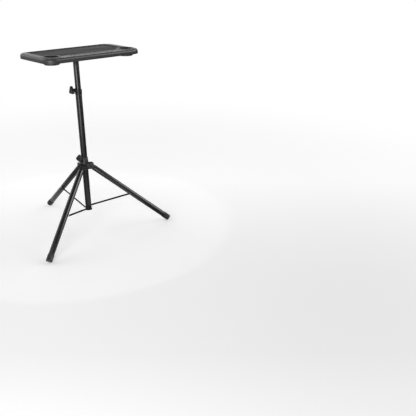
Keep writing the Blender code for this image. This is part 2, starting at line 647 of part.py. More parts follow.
def make_tray_shell(parent):
    shell = bmesh.new()
    chamfer = TRAY_FOOT_CHAMFER
    edge = TRAY_EDGE_RADIUS
    levels = [(chamfer, -TRAY_SKIRT), (0.0, chamfer - TRAY_SKIRT)]
    levels += [(edge - r, h - edge) for r, h in arc((0.0, 0.0), edge, 0, 90, 5)]
    skin(shell, [[(x, y, level) for x, y in tray_outline(inset)] for inset, level in levels])
    tray = piece("tray_shell", shell, TRAY_PLASTIC, parent)
    pocket = extruded(tray_outline(TRAY_WALL), -TRAY_SKIRT - TRAY_WALL, POCKET_CEILING)
    combine(tray, pocket, "DIFFERENCE", "pocket")
    cut_recess(tray)
    for side, label in ((-1, "left"), (1, "right")):
        hole = rod(CUP_RADIUS + REST_GAP, -TRAY_SKIRT, TRAY_WALL)
        combine(tray, turned(hole, LEG_SEGMENTS, place=at_cup(side)), "DIFFERENCE", f"{label}_cup_hole")
    middle = TRAY_NEAR_EDGE + GROOVE_FROM_EDGE
    half = GROOVE_WIDTH / 2
    slot = rectangle(-GROOVE_LENGTH / 2, middle - half, GROOVE_LENGTH / 2, middle + half, half * ROUND_END)
    combine(tray, extruded(slot, -GROOVE_DEPTH, GROOVE_DEPTH), "DIFFERENCE", "groove")
    add_ribs(tray)
    pad = rod(PAD_RADIUS, POCKET_CEILING - PAD_THICKNESS, POCKET_CEILING + TRAY_FLOOR / 2)
    combine(tray, turned(pad, POLE_SEGMENTS), "UNION", "pad")
    bite = FLANGE_TOP + REST_GAP + TRAY_SCREW_BITE
    holes = bmesh.new()
    for place in tray_screw_places():
        hole = rod(TRAY_SCREW_RADIUS + TRAY_SCREW_HOLE_CLEARANCE, FLANGE_TOP - REST_GAP, bite)
        turn(holes, hole, place=place)
    combine(tray, holes, "DIFFERENCE", "screw_holes")


def cut_recess(tray):
    """The tray's shallow recess, which leaves a round border at each cup."""
    edge = RECESS_EDGE_RADIUS
    rounding = [(edge - r, h - edge) for r, h in arc((0.0, 0.0), edge, 0, 90)]
    recess = bmesh.new()
    levels = [(0.0, -RECESS_DEPTH)] + rounding + [(edge, TRAY_WALL)]
    skin(recess, [[(x, y, level) for x, y in recess_outline(grow)] for grow, level in levels])
    cutter = combine(tray, recess, "DIFFERENCE", "recess")
    for side, label in ((-1, "left"), (1, "right")):
        border = [(0.0, -RECESS_DEPTH * 2), (CUP_BORDER_RADIUS, -RECESS_DEPTH * 2)]
        border += [(CUP_BORDER_RADIUS - inset, level) for inset, level in rounding]
        border += [(CUP_BORDER_RADIUS - edge, TRAY_WALL * 2), (0.0, TRAY_WALL * 2)]
        combine(cutter, turned(border, POLE_SEGMENTS, place=at_cup(side)), "DIFFERENCE", f"{label}_border")


def add_ribs(tray):
    """Cross ribs under the floor, from the near skirt to the far one, clear of the cups and the pad."""
    low = TRAY_NEAR_EDGE + TRAY_WALL / 2
    high = TRAY_NEAR_EDGE + TRAY_DEPTH - TRAY_WALL / 2
    for index in (-2, -1, 1, 2):
        x = index * RIB_SPACING
        rib = rectangle(x - RIB_THICKNESS / 2, low, x + RIB_THICKNESS / 2, high)
        solid = extruded(rib, POCKET_CEILING - RIB_HEIGHT, POCKET_CEILING + TRAY_FLOOR / 2)
        combine(tray, solid, "UNION", f"rib_{index + 3}")


def make_tray_mat(parent):
    """A thin mat on the recess floor, with a notch round each cup's border."""
    low = REST_GAP - RECESS_DEPTH
    mat = extruded(recess_outline(-MAT_CLEARANCE), low, low + MAT_THICKNESS)
    mat = piece("tray_mat", mat, BLACK_RUBBER, parent)
    for side, label in ((-1, "left"), (1, "right")):
        notch = rod(CUP_BORDER_RADIUS + MAT_CLEARANCE, -RECESS_DEPTH * 2, 0.0)
        combine(mat, turned(notch, POLE_SEGMENTS, place=at_cup(side)), "DIFFERENCE", f"{label}_notch")


def make_cup_holder(label, side, parent):
    """A drop-in cup whose lip rests on the tray's rim."""
    seat = REST_GAP
    top = seat + CUP_LIP_HEIGHT
    edge = CUP_EDGE_RADIUS
    inner_edge = edge - CUP_WALL / 2
    round_over = CUP_LIP_ROUNDING
    floor = CUP_WALL - CUP_DEPTH
    profile = [(0.0, -CUP_DEPTH)]
    profile += arc((CUP_RADIUS - edge, edge - CUP_DEPTH), edge, -90, 0)
    profile += [(CUP_RADIUS, seat), (CUP_LIP_RADIUS, seat)]
    profile += arc((CUP_LIP_RADIUS - round_over, top - round_over), round_over, 0, 90)
    profile += arc((CUP_BORE_RADIUS + round_over, top - round_over), round_over, 90, 180)
    profile += arc((CUP_BORE_RADIUS - inner_edge, floor + inner_edge), inner_edge, 0, -90)
    profile += [(0.0, floor)]
    frame = frame_at(f"cup_{label}_seat", parent, (side * CUP_X, CUP_Y, 0.0))
    piece(f"cup_holder_{label}", turned(profile, LEG_SEGMENTS), TRAY_PLASTIC, frame)


def tray_screw_places():
    places = []
    for index in range(TRAY_SCREW_COUNT):
        angle = math.tau * (index + 0.5) / TRAY_SCREW_COUNT
        x = TRAY_SCREW_CIRCLE * math.cos(angle)
        y = TRAY_SCREW_CIRCLE * math.sin(angle)
        places.append(Matrix.Translation((x, y, 0.0)))
    return places


def make_tray_socket(parent):
    """A flange under the tray's pad with a neck that fits over the pole top."""
    neck = INNER_POLE_RADIUS + REST_GAP + SOCKET_WALL
    bore = INNER_POLE_RADIUS + REST_GAP
    bottom = FLANGE_UNDERSIDE - SOCKET_LENGTH
    edge = FLANGE_THICKNESS / 3
    fillet = SOCKET_FILLET
    profile = [(0.0, FLANGE_TOP), (FLANGE_RADIUS - edge, FLANGE_TOP), (FLANGE_RADIUS, FLANGE_TOP - edge)]
    profile += [(FLANGE_RADIUS, FLANGE_UNDERSIDE)]
    profile += arc((neck + fillet, FLANGE_UNDERSIDE - fillet), fillet, 90, 180)
    profile += [(neck, bottom + edge), (neck - edge, bottom), (bore, bottom)]
    profile += [(bore, FLANGE_UNDERSIDE), (0.0, FLANGE_UNDERSIDE)]
    socket = piece("tray_socket", turned(profile, POLE_SEGMENTS), COATED_STEEL, parent)
    holes = bmesh.new()
    for place in tray_screw_places():
        hole = rod(TRAY_SCREW_RADIUS + TRAY_SCREW_HOLE_CLEARANCE, FLANGE_UNDERSIDE - edge, FLANGE_TOP + edge)
        turn(holes, hole, place=place)
    combine(socket, holes, "DIFFERENCE", "screw_holes")
    hole = rod(CLAMP_SCREW_RADIUS + STUD_HOLE_CLEARANCE, bore / 2, neck * 2)
    place = Matrix.Translation((0.0, 0.0, FLANGE_UNDERSIDE - CLAMP_SCREW_DROP)) @ ALONG_Y
    combine(socket, turned(hole, place=place), "DIFFERENCE", "clamp_hole")
    make_tray_screws(parent)
    make_socket_clamp_screw(bore, neck, place, parent)


def make_tray_screws(parent):
    """Pan-head screws up through the flange into the tray's pad."""
    seat = FLANGE_UNDERSIDE - REST_GAP
    tip = FLANGE_TOP + TRAY_SCREW_BITE - REST_GAP
    low = seat - TRAY_SCREW_HEAD_HEIGHT
    edge = TRAY_SCREW_HEAD_HEIGHT / 2
    slot = TRAY_SCREW_DRIVE_RADIUS
    profile = [(0.0, low + edge), (slot, low + edge), (slot, low), (TRAY_SCREW_HEAD_RADIUS - edge, low)]
    profile += [(TRAY_SCREW_HEAD_RADIUS, low + edge), (TRAY_SCREW_HEAD_RADIUS, seat)]
    profile += [(TRAY_SCREW_RADIUS, seat), (TRAY_SCREW_RADIUS, tip), (0.0, tip)]
    for index, place in enumerate(tray_screw_places()):
        piece(f"tray_screw_{index + 1}", turned(profile, place=place), ZINC_STEEL, parent)


def make_socket_clamp_screw(tip, seat, place, parent):
    """A socket-head screw through the neck's wall, whose tip bears on the pole."""
    head = seat + REST_GAP
    top = head + CLAMP_SCREW_HEAD_HEIGHT
    key = CLAMP_SCREW_KEY_RADIUS
    edge = CLAMP_SCREW_HEAD_HEIGHT / 6
    key_end = top - CLAMP_SCREW_HEAD_HEIGHT / 2
    profile = [(0.0, tip), (CLAMP_SCREW_RADIUS, tip), (CLAMP_SCREW_RADIUS, head)]
    profile += [(CLAMP_SCREW_HEAD_RADIUS, head), (CLAMP_SCREW_HEAD_RADIUS, top - edge)]
    profile.append((CLAMP_SCREW_HEAD_RADIUS - edge, top))
    profile += [(key, top), (key, key_end), (0.0, key_end)]
    piece("socket_clamp_screw", turned(profile, place=place), ZINC_STEEL, parent)


def build_lower_pole(pole):
    make_outer_tube(pole)
    make_base_cap(pole)
    make_height_collar(pole)
    screw = screw_frame(pole, "height_screw_axis", HEIGHT_SCREW_HEIGHT, HEIGHT_SCREW_AZIMUTH)
    make_clamp_screw("height", screw, INNER_POLE_RADIUS + REST_GAP, COLLAR_BOSS_REACH, HEIGHT_KNOB_TURN)


def build_tripod(pole):
    hub = frame_at("hub_slide", pole)
    make_leg_hub(hub)
    screw = screw_frame(hub, "hub_screw_axis", HUB_SCREW_HEIGHT, HUB_SCREW_AZIMUTH)
    make_clamp_screw("hub", screw, HUB_BORE, HUB_BOSS_REACH, HUB_KNOB_TURN)
    for name, azimuth in LEGS:
        clevis = frame_at(f"leg_{name}_plane", hub, rotation=(0.0, 0.0, azimuth))
        pivot = (PIVOT_REACH, 0.0, PIVOT_HEIGHT)
        make_leg_pin(name, frame_at(f"leg_{name}_pin_axis", clevis, pivot))
        hinge = frame_at(f"leg_{name}_hinge", clevis, pivot, (0.0, math.radians(90.0) + LEG_SLOPE, 0.0))
        make_leg(name, hinge)
        side = frame_at(f"brace_{name}_plane", pole, rotation=(0.0, 0.0, azimuth))
        make_root_rivet(name, frame_at(f"brace_{name}_rivet_axis", side, (0.0, 0.0, BRACE_ROOT_HEIGHT)))
        root = (0.0, BRACE_FACE, BRACE_ROOT_HEIGHT)
        make_brace(name, frame_at(f"brace_{name}_hinge", side, root, (0.0, -BRACE_SLOPE, 0.0)))


def build_upper_pole(pole):
    slide = frame_at("height_slide", pole)
    make_inner_pole(slide)
    swivel = frame_at("tray_swivel", slide, (0.0, 0.0, TRAY_TOP))
    make_tray_shell(swivel)
    make_tray_mat(swivel)
    make_cup_holder("left", -1, swivel)
    make_cup_holder("right", 1, swivel)
    make_tray_socket(swivel)


def build_desk():
    clear_scene()
    pole = frame_at("pole_axis", location=(0.0, POLE_Y, 0.0))
    build_lower_pole(pole)
    build_tripod(pole)
    build_upper_pole(pole)


build_desk()
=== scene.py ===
# %% [markdown]
# # A tripod tray desk
# The real object is a light desk on a folding tripod: a moulded tray on a telescoping pole, and three tube
# legs that fold like those of a speaker stand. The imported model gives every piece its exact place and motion.
# This file gives the pieces their fine surface and their finish, so each new piece is made where the packed
# one stands and then takes its place.

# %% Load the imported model
import json
from math import asin, cos, pi, radians, sin

import bpy
from mathutils import Matrix, Vector


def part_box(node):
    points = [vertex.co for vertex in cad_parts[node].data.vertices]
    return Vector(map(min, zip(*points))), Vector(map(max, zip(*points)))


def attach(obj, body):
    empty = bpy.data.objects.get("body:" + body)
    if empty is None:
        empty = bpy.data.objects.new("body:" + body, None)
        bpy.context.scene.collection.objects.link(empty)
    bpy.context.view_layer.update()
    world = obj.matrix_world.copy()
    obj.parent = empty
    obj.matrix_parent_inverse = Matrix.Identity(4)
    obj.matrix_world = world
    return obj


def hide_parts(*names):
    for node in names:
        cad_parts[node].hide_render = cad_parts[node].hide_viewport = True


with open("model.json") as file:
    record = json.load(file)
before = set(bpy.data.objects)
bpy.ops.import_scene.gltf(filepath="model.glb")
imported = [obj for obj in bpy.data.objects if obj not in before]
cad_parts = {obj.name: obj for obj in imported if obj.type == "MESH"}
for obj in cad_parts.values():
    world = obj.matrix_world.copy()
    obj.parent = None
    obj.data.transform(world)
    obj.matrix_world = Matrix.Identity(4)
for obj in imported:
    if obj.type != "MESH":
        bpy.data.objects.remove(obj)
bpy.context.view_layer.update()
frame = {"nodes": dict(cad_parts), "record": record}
body_of = {node: body for body, nodes in frame["record"]["behaviour"]["bodies"].items() for node in nodes}

# %% [markdown]
# ## Where everything stands
# Almost every piece is placed from one of two things: the pole's upright axis, or one of the three planes
# that the legs fold in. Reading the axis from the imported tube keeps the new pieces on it. Most pieces are
# made upright along +Z, because that is how Blender adds them, and two fixed turns lay them along +X or +Y.

# %% The pole's axis and the three leg planes
tube_low, tube_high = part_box("outer_tube")
pole_axis = Vector(((tube_low.x + tube_high.x) / 2, (tube_low.y + tube_high.y) / 2, 0.0))
leg_azimuths = {"left": radians(210.0), "right": radians(330.0), "front": radians(90.0)}
along_x = Matrix.Rotation(radians(90.0), 4, "Y")
along_y = Matrix.Rotation(radians(-90.0), 4, "X")


def on_pole(height=0.0, azimuth=0.0):
    """A place on the pole's axis, turned so that +X points along an azimuth."""
    return Matrix.Translation(pole_axis + Vector((0.0, 0.0, height))) @ Matrix.Rotation(azimuth, 4, "Z")


print("pole axis at", [round(value, 5) for value in pole_axis])

# %% [markdown]
# ## Finishes
# The desk has a few families of finish: black powder coat on the steel, charcoal moulded plastic on the tray
# and its cups, a blacker plastic on the fittings, rubber on the feet and the mat, and bright zinc on the
# fasteners. Each is a Principled shader, and noise in Object coordinates adds what varies. Painted pictures
# could do that too, but noise needs no unwrapping and shows no seam.

# %% Start a finish and wire its nodes
def new_finish(name, roughness, metallic=0.0, specular=0.5):
    """A material with its Principled shader and a source of Object coordinates."""
    material = bpy.data.materials.new(name)
    material.use_nodes = True
    shader = material.node_tree.nodes["Principled BSDF"]
    shader.inputs["Roughness"].default_value = roughness
    shader.inputs["Metallic"].default_value = metallic
    shader.inputs["Specular IOR Level"].default_value = specular
    material.node_tree.nodes.new("ShaderNodeTexCoord")
    return material, shader


def object_place(material):
    """Where a point lies on its object, in metres."""
    return material.node_tree.nodes["Texture Coordinate"].outputs["Object"]


def wire(output, socket):
    """Joins two sockets. A socket's id_data is the node tree that it belongs to."""
    socket.id_data.links.new(output, socket)


def fed_by(value, kind, inlet, values=None, **settings):
    """A new node in the tree that a value comes from, with that value wired into it."""
    node = value.id_data.nodes.new(kind)
    for socket, number in (values or {}).items():
        node.inputs[socket].default_value = number
    for name, setting in settings.items():
        setattr(node, name, setting)
    wire(value, node.inputs[inlet])
    return node


print("ready to start a finish")

# %% [markdown]
# A few helpers make nearly every pattern here: a noise, a stretch of that noise to a range of values, a blend
# of two colours by it, and a bump from it. Bumps can be laid over one another, coarse first.

# %% Patterns that vary a finish
def noise(material, grains, detail, stretch=(1.0, 1.0, 1.0)):
    """A noise pattern with so many grains per metre."""
    mapping = fed_by(object_place(material), "ShaderNodeMapping", "Vector", {"Scale": stretch})
    grain = {"Scale": grains, "Detail": detail}
    return fed_by(mapping.outputs["Vector"], "ShaderNodeTexNoise", "Vector", grain).outputs["Fac"]


def spread(value, low, high, start=0.3, end=0.7, slope="LINEAR"):
    """Stretches a value that runs from start to end so that it runs from low to high."""
    limits = {"From Min": start, "From Max": end, "To Min": low, "To Max": high}
    return fed_by(value, "ShaderNodeMapRange", "Value", limits, interpolation_type=slope).outputs["Result"]


def joined(operation, *values):
    """All the values added or multiplied together, or the largest of them, as the operation says."""
    result = values[0]
    for value in values[1:]:
        node = fed_by(result, "ShaderNodeMath", 0, operation=operation)
        wire(value, node.inputs[1])
        result = node.outputs["Value"]
    return result


def between_colours(value, first, second, start=0.35, end=0.65):
    ramp = fed_by(value, "ShaderNodeValToRGB", "Fac")
    for stop, position, colour in zip(ramp.color_ramp.elements, (start, end), (first, second)):
        stop.position = position
        stop.color = (*colour, 1.0)
    return ramp.outputs["Color"]


def raise_grain(height, depth, strength, under=None):
    """A bump, laid over another one where that is given."""
    bump = fed_by(height, "ShaderNodeBump", "Height", {"Distance": depth, "Strength": strength})
    if under is not None:
        wire(under, bump.inputs["Normal"])
    return bump.outputs["Normal"]


def cover(shader, colour, roughness, normal):
    """Lets three patterns drive a shader's colour, roughness and surface."""
    for pattern, socket in ((colour, "Base Color"), (roughness, "Roughness"), (normal, "Normal")):
        wire(pattern, shader.inputs[socket])


print("ready to vary a finish")

# %% [markdown]
# ### Powder coat
# Powder coat is sprayed on as dust and melted, so it has a soft orange peel about a millimetre across. A
# faint change of gloss along the tube keeps the highlight from looking drawn with a ruler. The legs are
# satin, the hub is duller, the brace bars are nearly matt, and the lower pole reflects a little less than the
# legs.

# %% Powder coats for the tubes, the hub and the bars
def make_powder_coat(name, roughness, specular=0.5):
    material, shader = new_finish(name, roughness, specular=specular)
    clouds = noise(material, 45.0, 4.0)
    colour = between_colours(clouds, (0.0070, 0.0071, 0.0074), (0.0105, 0.0106, 0.0110))
    drift = spread(noise(material, 28.0, 5.0), roughness - 0.03, roughness + 0.05)
    peel = raise_grain(noise(material, 900.0, 2.0), 0.00006, 0.35)
    cover(shader, colour, drift, raise_grain(noise(material, 3200.0, 1.0), 0.00004, 0.25, peel))
    return material


tube_coat = make_powder_coat("satin_powder_coat", 0.24)
hub_coat = make_powder_coat("dull_powder_coat", 0.44)
bar_coat = make_powder_coat("matt_powder_coat", 0.55, 0.05)
lower_pole_coat = make_powder_coat("deep_powder_coat", 0.27, 0.34)
print("made", tube_coat.name, hub_coat.name, bar_coat.name, "and", lower_pole_coat.name)

# %% [markdown]
# The inner pole slides through a tight collar each time the tray is raised. That polishes it, so its coat is
# glossier, with fine rub lines that run up and down. Squeezing a noise pattern along Z makes the lines.

# %% Rubbed coat for the sliding pole
def make_rubbed_coat():
    material, shader = new_finish("rubbed_powder_coat", 0.22)
    lines = noise(material, 900.0, 3.0, stretch=(1.0, 1.0, 0.012))
    colour = between_colours(lines, (0.0075, 0.0076, 0.0080), (0.0115, 0.0116, 0.0120), 0.3, 0.75)
    peel = raise_grain(noise(material, 900.0, 2.0), 0.0001, 0.25)
    cover(shader, colour, spread(lines, 0.18, 0.25), raise_grain(lines, 0.00003, 0.4, peel))
    return material


sliding_pole_coat = make_rubbed_coat()
print("made", sliding_pole_coat.name)

# %% [markdown]
# ### Moulded plastics
# The tray is structural plastic from a spark-eroded mould: tiny pits that scatter the light, and slow patches
# of gloss where the plastic flowed. The fittings are a smoother, blacker nylon. One recipe makes both.

# %% Plastics for the tray and the fittings
def make_moulded_plastic(name, dark, light, roughness, specular):
    pit_depth = 0.00004
    material, shader = new_finish(name, roughness, specular=specular)
    colour = between_colours(noise(material, 9.0, 3.0, stretch=(1.0, 1.6, 1.0)), dark, light)
    patches = spread(noise(material, 70.0, 4.0), roughness - 0.04, roughness + 0.06)
    pits = fed_by(object_place(material), "ShaderNodeTexVoronoi", "Vector", {"Scale": 1300.0})
    coarse = raise_grain(pits.outputs["Distance"], pit_depth, 0.5)
    cover(shader, colour, patches, raise_grain(noise(material, 2600.0, 2.0), pit_depth / 2, 0.4, coarse))
    return material


charcoal = ((0.026, 0.0264, 0.0275), (0.031, 0.0314, 0.0325), 0.40, 0.50)
black = ((0.0050, 0.0051, 0.0054), (0.0075, 0.0076, 0.0080), 0.36, 0.34)
tray_plastic = make_moulded_plastic("charcoal_tray_plastic", *charcoal)
fitting_plastic = make_moulded_plastic("black_nylon", *black)
print("made", tray_plastic.name, "and", fitting_plastic.name)

# %% [markdown]
# ### Rubber
# The feet are soft rubber with a slight sheen, and they have picked up a little dust low down. The object's
# own Z is its height over the floor, so the dust can be faded out by that height and broken up by a noise.

# %% Rubber for the feet
def make_foot_rubber():
    dust_height = 0.022
    clean, dusty = (0.0110, 0.0110, 0.0110), (0.050, 0.049, 0.047)
    material, shader = new_finish("foot_rubber", 0.50, specular=0.42)
    height = fed_by(object_place(material), "ShaderNodeSeparateXYZ", "Vector").outputs["Z"]
    dust = joined("MULTIPLY", spread(height, 0.9, 0.0, 0.0, dust_height), noise(material, 160.0, 5.0))
    sheen = spread(noise(material, 120.0, 4.0), 0.44, 0.58)
    grain = raise_grain(noise(material, 1500.0, 3.0), 0.00015, 0.5)
    cover(shader, between_colours(dust, clean, dusty, 0.1, 0.8), sheen, grain)
    return material


foot_rubber = make_foot_rubber()
print("made", foot_rubber.name)

# %% [markdown]
# The mat in the tray has a fine raised grid, so that things laid on it don't slide. Two wave patterns at
# right angles make the grid, and the larger of the two counts at each point.

# %% Rubber for the mat
def make_mat_rubber():
    material, shader = new_finish("mat_rubber", 0.60, specular=0.21)
    waves = []
    for direction in ("X", "Y"):
        wave = fed_by(
            object_place(material), "ShaderNodeTexWave", "Vector", {"Scale": 85.0}, bands_direction=direction)
        waves.append(wave.outputs["Fac"])
    weave = raise_grain(joined("MAXIMUM", *waves), 0.00005, 0.2)
    grain = raise_grain(noise(material, 2000.0, 2.0), 0.00003, 0.3, weave)
    streaks = noise(material, 22.0, 4.0, stretch=(0.12, 1.0, 1.0))
    colour = between_colours(streaks, (0.0088, 0.0090, 0.0095), (0.0150, 0.0152, 0.0158))
    cover(shader, colour, spread(streaks, 0.54, 0.66), grain)
    return material


mat_rubber = make_mat_rubber()
print("made", mat_rubber.name)

# %% [markdown]
# ### Zinc plate
# The screws, the studs and the braces' rivets are zinc plated. The hinge pins are not: they are coated with
# the legs. Zinc is a metal, so its colour is its reflection, a little dulled and clouded by the plating bath.

# %% Zinc for the fasteners
def make_zinc():
    material, shader = new_finish("zinc_plate", 0.34, metallic=1.0)
    colour = between_colours(noise(material, 260.0, 4.0), (0.40, 0.41, 0.43), (0.56, 0.565, 0.57))
    dulling = spread(noise(material, 700.0, 3.0), 0.28, 0.42)
    cover(shader, colour, dulling, raise_grain(noise(material, 3000.0, 2.0), 0.00002, 0.5))
    return material


zinc = make_zinc()
print("made", zinc.name)

# %% [markdown]
# ## Tools for shaping
# Blender's operators act on whatever is selected, so every piece starts from an empty selection. A piece is
# made about the world's origin and put in its place, and that place is then moved into its mesh, so that the
# patterns of every finish measure from one point.

# %% Select, place and copy a piece
def select_only(*things):
    if bpy.context.object and bpy.context.object.mode != "OBJECT":
        bpy.ops.object.mode_set(mode="OBJECT")
    bpy.ops.object.select_all(action="DESELECT")
    for thing in things:
        thing.select_set(True)
        bpy.context.view_layer.objects.active = thing


def edit(thing):
    select_only(thing)
    bpy.ops.object.mode_set(mode="EDIT")
    bpy.ops.mesh.select_all(action="SELECT")


def settle(thing, place=None):
    """Puts a piece in its place and then moves that place into its mesh."""
    if place is not None:
        thing.matrix_world = place @ thing.matrix_world
    select_only(thing)
    bpy.ops.object.transform_apply(location=True, rotation=True, scale=True)
    return thing


def copy_of(thing, name):
    twin = thing.copy()
    twin.data = thing.data.copy()
    twin.name = name
    bpy.context.scene.collection.objects.link(twin)
    return twin


print("ready to place and copy")

# %% [markdown]
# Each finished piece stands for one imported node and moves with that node's body. How far it reaches past the
# node is printed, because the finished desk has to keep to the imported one's size.

# %% Dress a piece for its node
def stand_in(piece, node, material):
    """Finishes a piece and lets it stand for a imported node, on that node's body."""
    piece.data.materials.clear()
    piece.data.materials.append(material)
    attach(piece, body_of[node])
    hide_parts(node)
    low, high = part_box(node)
    corners = [piece.matrix_world @ vertex.co for vertex in piece.data.vertices]
    reach = [max(corner[k] for corner in corners) - high[k] for k in range(3)]
    fall = [low[k] - min(corner[k] for corner in corners) for k in range(3)]
    past = max(reach + fall) * 1000
    print(f"{piece.name}: {len(piece.data.polygons)} faces, past its node by {past:.2f} mm")


print("nodes to dress:", len(body_of))

# %% [markdown]
# A turned piece is a circle that is extruded ring by ring, the way a potter pulls up a wall. The Screw
# modifier could turn it too, but with rings each step is plain to see. A moulded piece is a plane with its
# corners rounded and then extruded.

# %% Turned shapes
def close_shape():
    """Turns all faces outward and leaves edit mode."""
    bpy.ops.mesh.select_all(action="SELECT")
    bpy.ops.mesh.normals_make_consistent(inside=False)
    bpy.ops.object.mode_set(mode="OBJECT")


def turned(name, profile, segments=64, hollow=False):
    """A turned piece about +Z from (radius, height) points. A hollow one's profile runs round its wall."""
    select_only()
    radius, height = profile[0]
    fill = "NOTHING" if hollow else "NGON"
    bpy.ops.mesh.primitive_circle_add(
        vertices=segments, radius=radius, location=(0.0, 0.0, height), fill_type=fill)
    piece = bpy.context.object
    piece.name = name
    settle(piece)
    edit(piece)
    for wide, level in profile[1:] + (profile[:1] if hollow else []):
        bpy.ops.mesh.extrude_region_move(TRANSFORM_OT_translate={"value": (0.0, 0.0, level - height)})
        growth = wide / radius
        bpy.ops.transform.resize(value=(growth, growth, 1.0), center_override=(0.0, 0.0, level))
        radius, height = wide, level
    bpy.ops.mesh.select_all(action="SELECT")
    bpy.ops.mesh.remove_doubles(threshold=0.000005)
    close_shape()
    return piece


def peg(name, radius, low, high, segments=48):
    return turned(name, [(radius, low), (radius, high)], segments)


print("ready to turn")

# %% Plates
def plane_from(name, size, middle):
    """A flat rectangle, ready for its corners to be rounded."""
    select_only()
    bpy.ops.mesh.primitive_plane_add(size=1.0, location=middle)
    piece = bpy.context.object
    piece.name = name
    piece.scale = (*size, 1.0)
    return settle(piece)


def round_corners(width, segments):
    bpy.ops.mesh.bevel(offset=width, offset_type="OFFSET", segments=segments, affect="VERTICES")


def thicken(thickness):
    bpy.ops.mesh.select_all(action="SELECT")
    bpy.ops.mesh.extrude_region_move(TRANSFORM_OT_translate={"value": (0.0, 0.0, thickness)})
    close_shape()


def rounded_plate(name, size, corner, low, high, segments=12):
    """A flat block about the origin with rounded upright corners."""
    piece = plane_from(name, size, (0.0, 0.0, low))
    edit(piece)
    round_corners(corner, segments)
    thicken(high - low)
    return piece


print("ready to make plates")

# %% [markdown]
# Holes and joins are Boolean modifiers, applied at once. Last, a narrow bevel rounds each sharp edge, because
# a real edge always catches a thin line of light.

# %% Cut, join and soften
def combine(piece, tool, operation="DIFFERENCE"):
    """Cuts a tool from a piece or joins it on, and then throws the tool away."""
    select_only(piece)
    modifier = piece.modifiers.new("combine", "BOOLEAN")
    modifier.operation = operation
    modifier.solver = "EXACT"
    modifier.object = tool
    bpy.ops.object.modifier_apply(modifier=modifier.name)
    bpy.data.objects.remove(tool, do_unlink=True)
    return piece


def soften(piece, width, steps=3, angle=40.0, smooth=38.0):
    """Rounds every sharp edge a little, as a mould, a file or a thick coat does."""
    select_only(piece)
    modifier = piece.modifiers.new("soften", "BEVEL")
    modifier.width = width
    modifier.segments = steps
    modifier.limit_method = "ANGLE"
    modifier.angle_limit = radians(angle)
    bpy.ops.object.modifier_apply(modifier=modifier.name)
    bpy.ops.object.shade_smooth_by_angle(angle=radians(smooth))
    return piece


def clear_away(*patterns):
    """Removes the patterns that pieces were copied from."""
    for pattern in patterns:
        bpy.data.objects.remove(pattern, do_unlink=True)


print("ready to cut and join")

# %% [markdown]
# ## The poles
# Two steel tubes, one sliding in the other. The outer one is 35 mm across and the inner one 31 mm. Their cut
# ends are deburred, which shows as a thin bright line, so the ends get a small bevel. A hollow turned profile
# makes the wall at once, with no bore to cut.

# %% Outer tube and inner pole
tube_wall = 0.0015
outer_radius = 0.0175
inner_radius = 0.0155


def make_tube(name, radius, low, high):
    bore = radius - tube_wall
    tube = turned(name, [(bore, low), (radius, low), (radius, high), (bore, high)], 72, hollow=True)
    return soften(tube, 0.0004, 2)


lower_pole = settle(make_tube("lower_pole_tube", outer_radius, tube_low.z, tube_high.z), on_pole())
stand_in(lower_pole, "outer_tube", lower_pole_coat)
inner_low, inner_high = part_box("inner_pole")
upper_pole = settle(make_tube("sliding_pole_tube", inner_radius, inner_low.z, inner_high.z), on_pole())
stand_in(upper_pole, "inner_pole", sliding_pole_coat)

# %% [markdown]
# A moulded cap is pushed over the outer tube's lower end. It is turned as a cup: across its floor, up its
# outside, over its lip and down its bore.

# %% Base cap
cap_low, cap_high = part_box("base_cap")
cap_radius, cap_bore, cap_floor = 0.0200, 0.0178, 0.002
cap = turned("pole_base_cap", [
    (0.0180, cap_low.z), (cap_radius, cap_low.z), (cap_radius, cap_high.z), (cap_bore, cap_high.z),
    (cap_bore, cap_low.z + cap_floor)])
soften(cap, 0.0007)
stand_in(settle(cap, on_pole()), "base_cap", fitting_plastic)

# %% [markdown]
# ## The height clamp
# A stepped nylon collar is pressed on the outer tube. A boss on its side carries a stud, and the knob on that
# stud presses it against the inner pole. The collar is turned first, the boss is joined to it with a Boolean
# union, and only then are the bores cut, so that they pass cleanly through both.

# %% Height collar
stud_hole_radius = 0.0033


def screw_axis(height, azimuth):
    """A clamp screw's axis: +Z outward from the pole, +X down."""
    return on_pole(height, azimuth) @ along_x


height_screw = screw_axis(0.8250, radians(175.5))
collar = turned("height_clamp_collar", [
    (0.0192, 0.8025), (0.0192, 0.8062), (0.0188, 0.8066), (0.0188, 0.8136), (0.0192, 0.8140),
    (0.0192, 0.8268), (0.0186, 0.8282), (0.0172, 0.8290)], 72)
settle(collar, on_pole())
combine(collar, settle(peg("boss", 0.0105, 0.0, 0.0303), height_screw), "UNION")
collar_bore = turned("bore", [(0.0178, 0.80), (0.0178, 0.8153), (0.0158, 0.8153), (0.0158, 0.85)], 72)
combine(collar, settle(collar_bore, on_pole()))
combine(collar, settle(peg("stud_hole", stud_hole_radius, 0.010, 0.05), height_screw))
soften(collar, 0.0007)
stand_in(collar, "height_collar", fitting_plastic)

# %% [markdown]
# ## The knobs
# Both knobs are the same moulding: a plump three-lobed grip with a dished middle and a short neck. A triangle
# is added as a circle with three corners, its corners are rounded until they meet the lobes, and then it is
# extruded to the grip's thickness. It is modelled once, and the second knob is a copy.

# %% Three-lobed knob
corner_reach = 0.0335
corner_rounding = 0.01611
grip_start, grip_thickness = 0.0025, 0.013


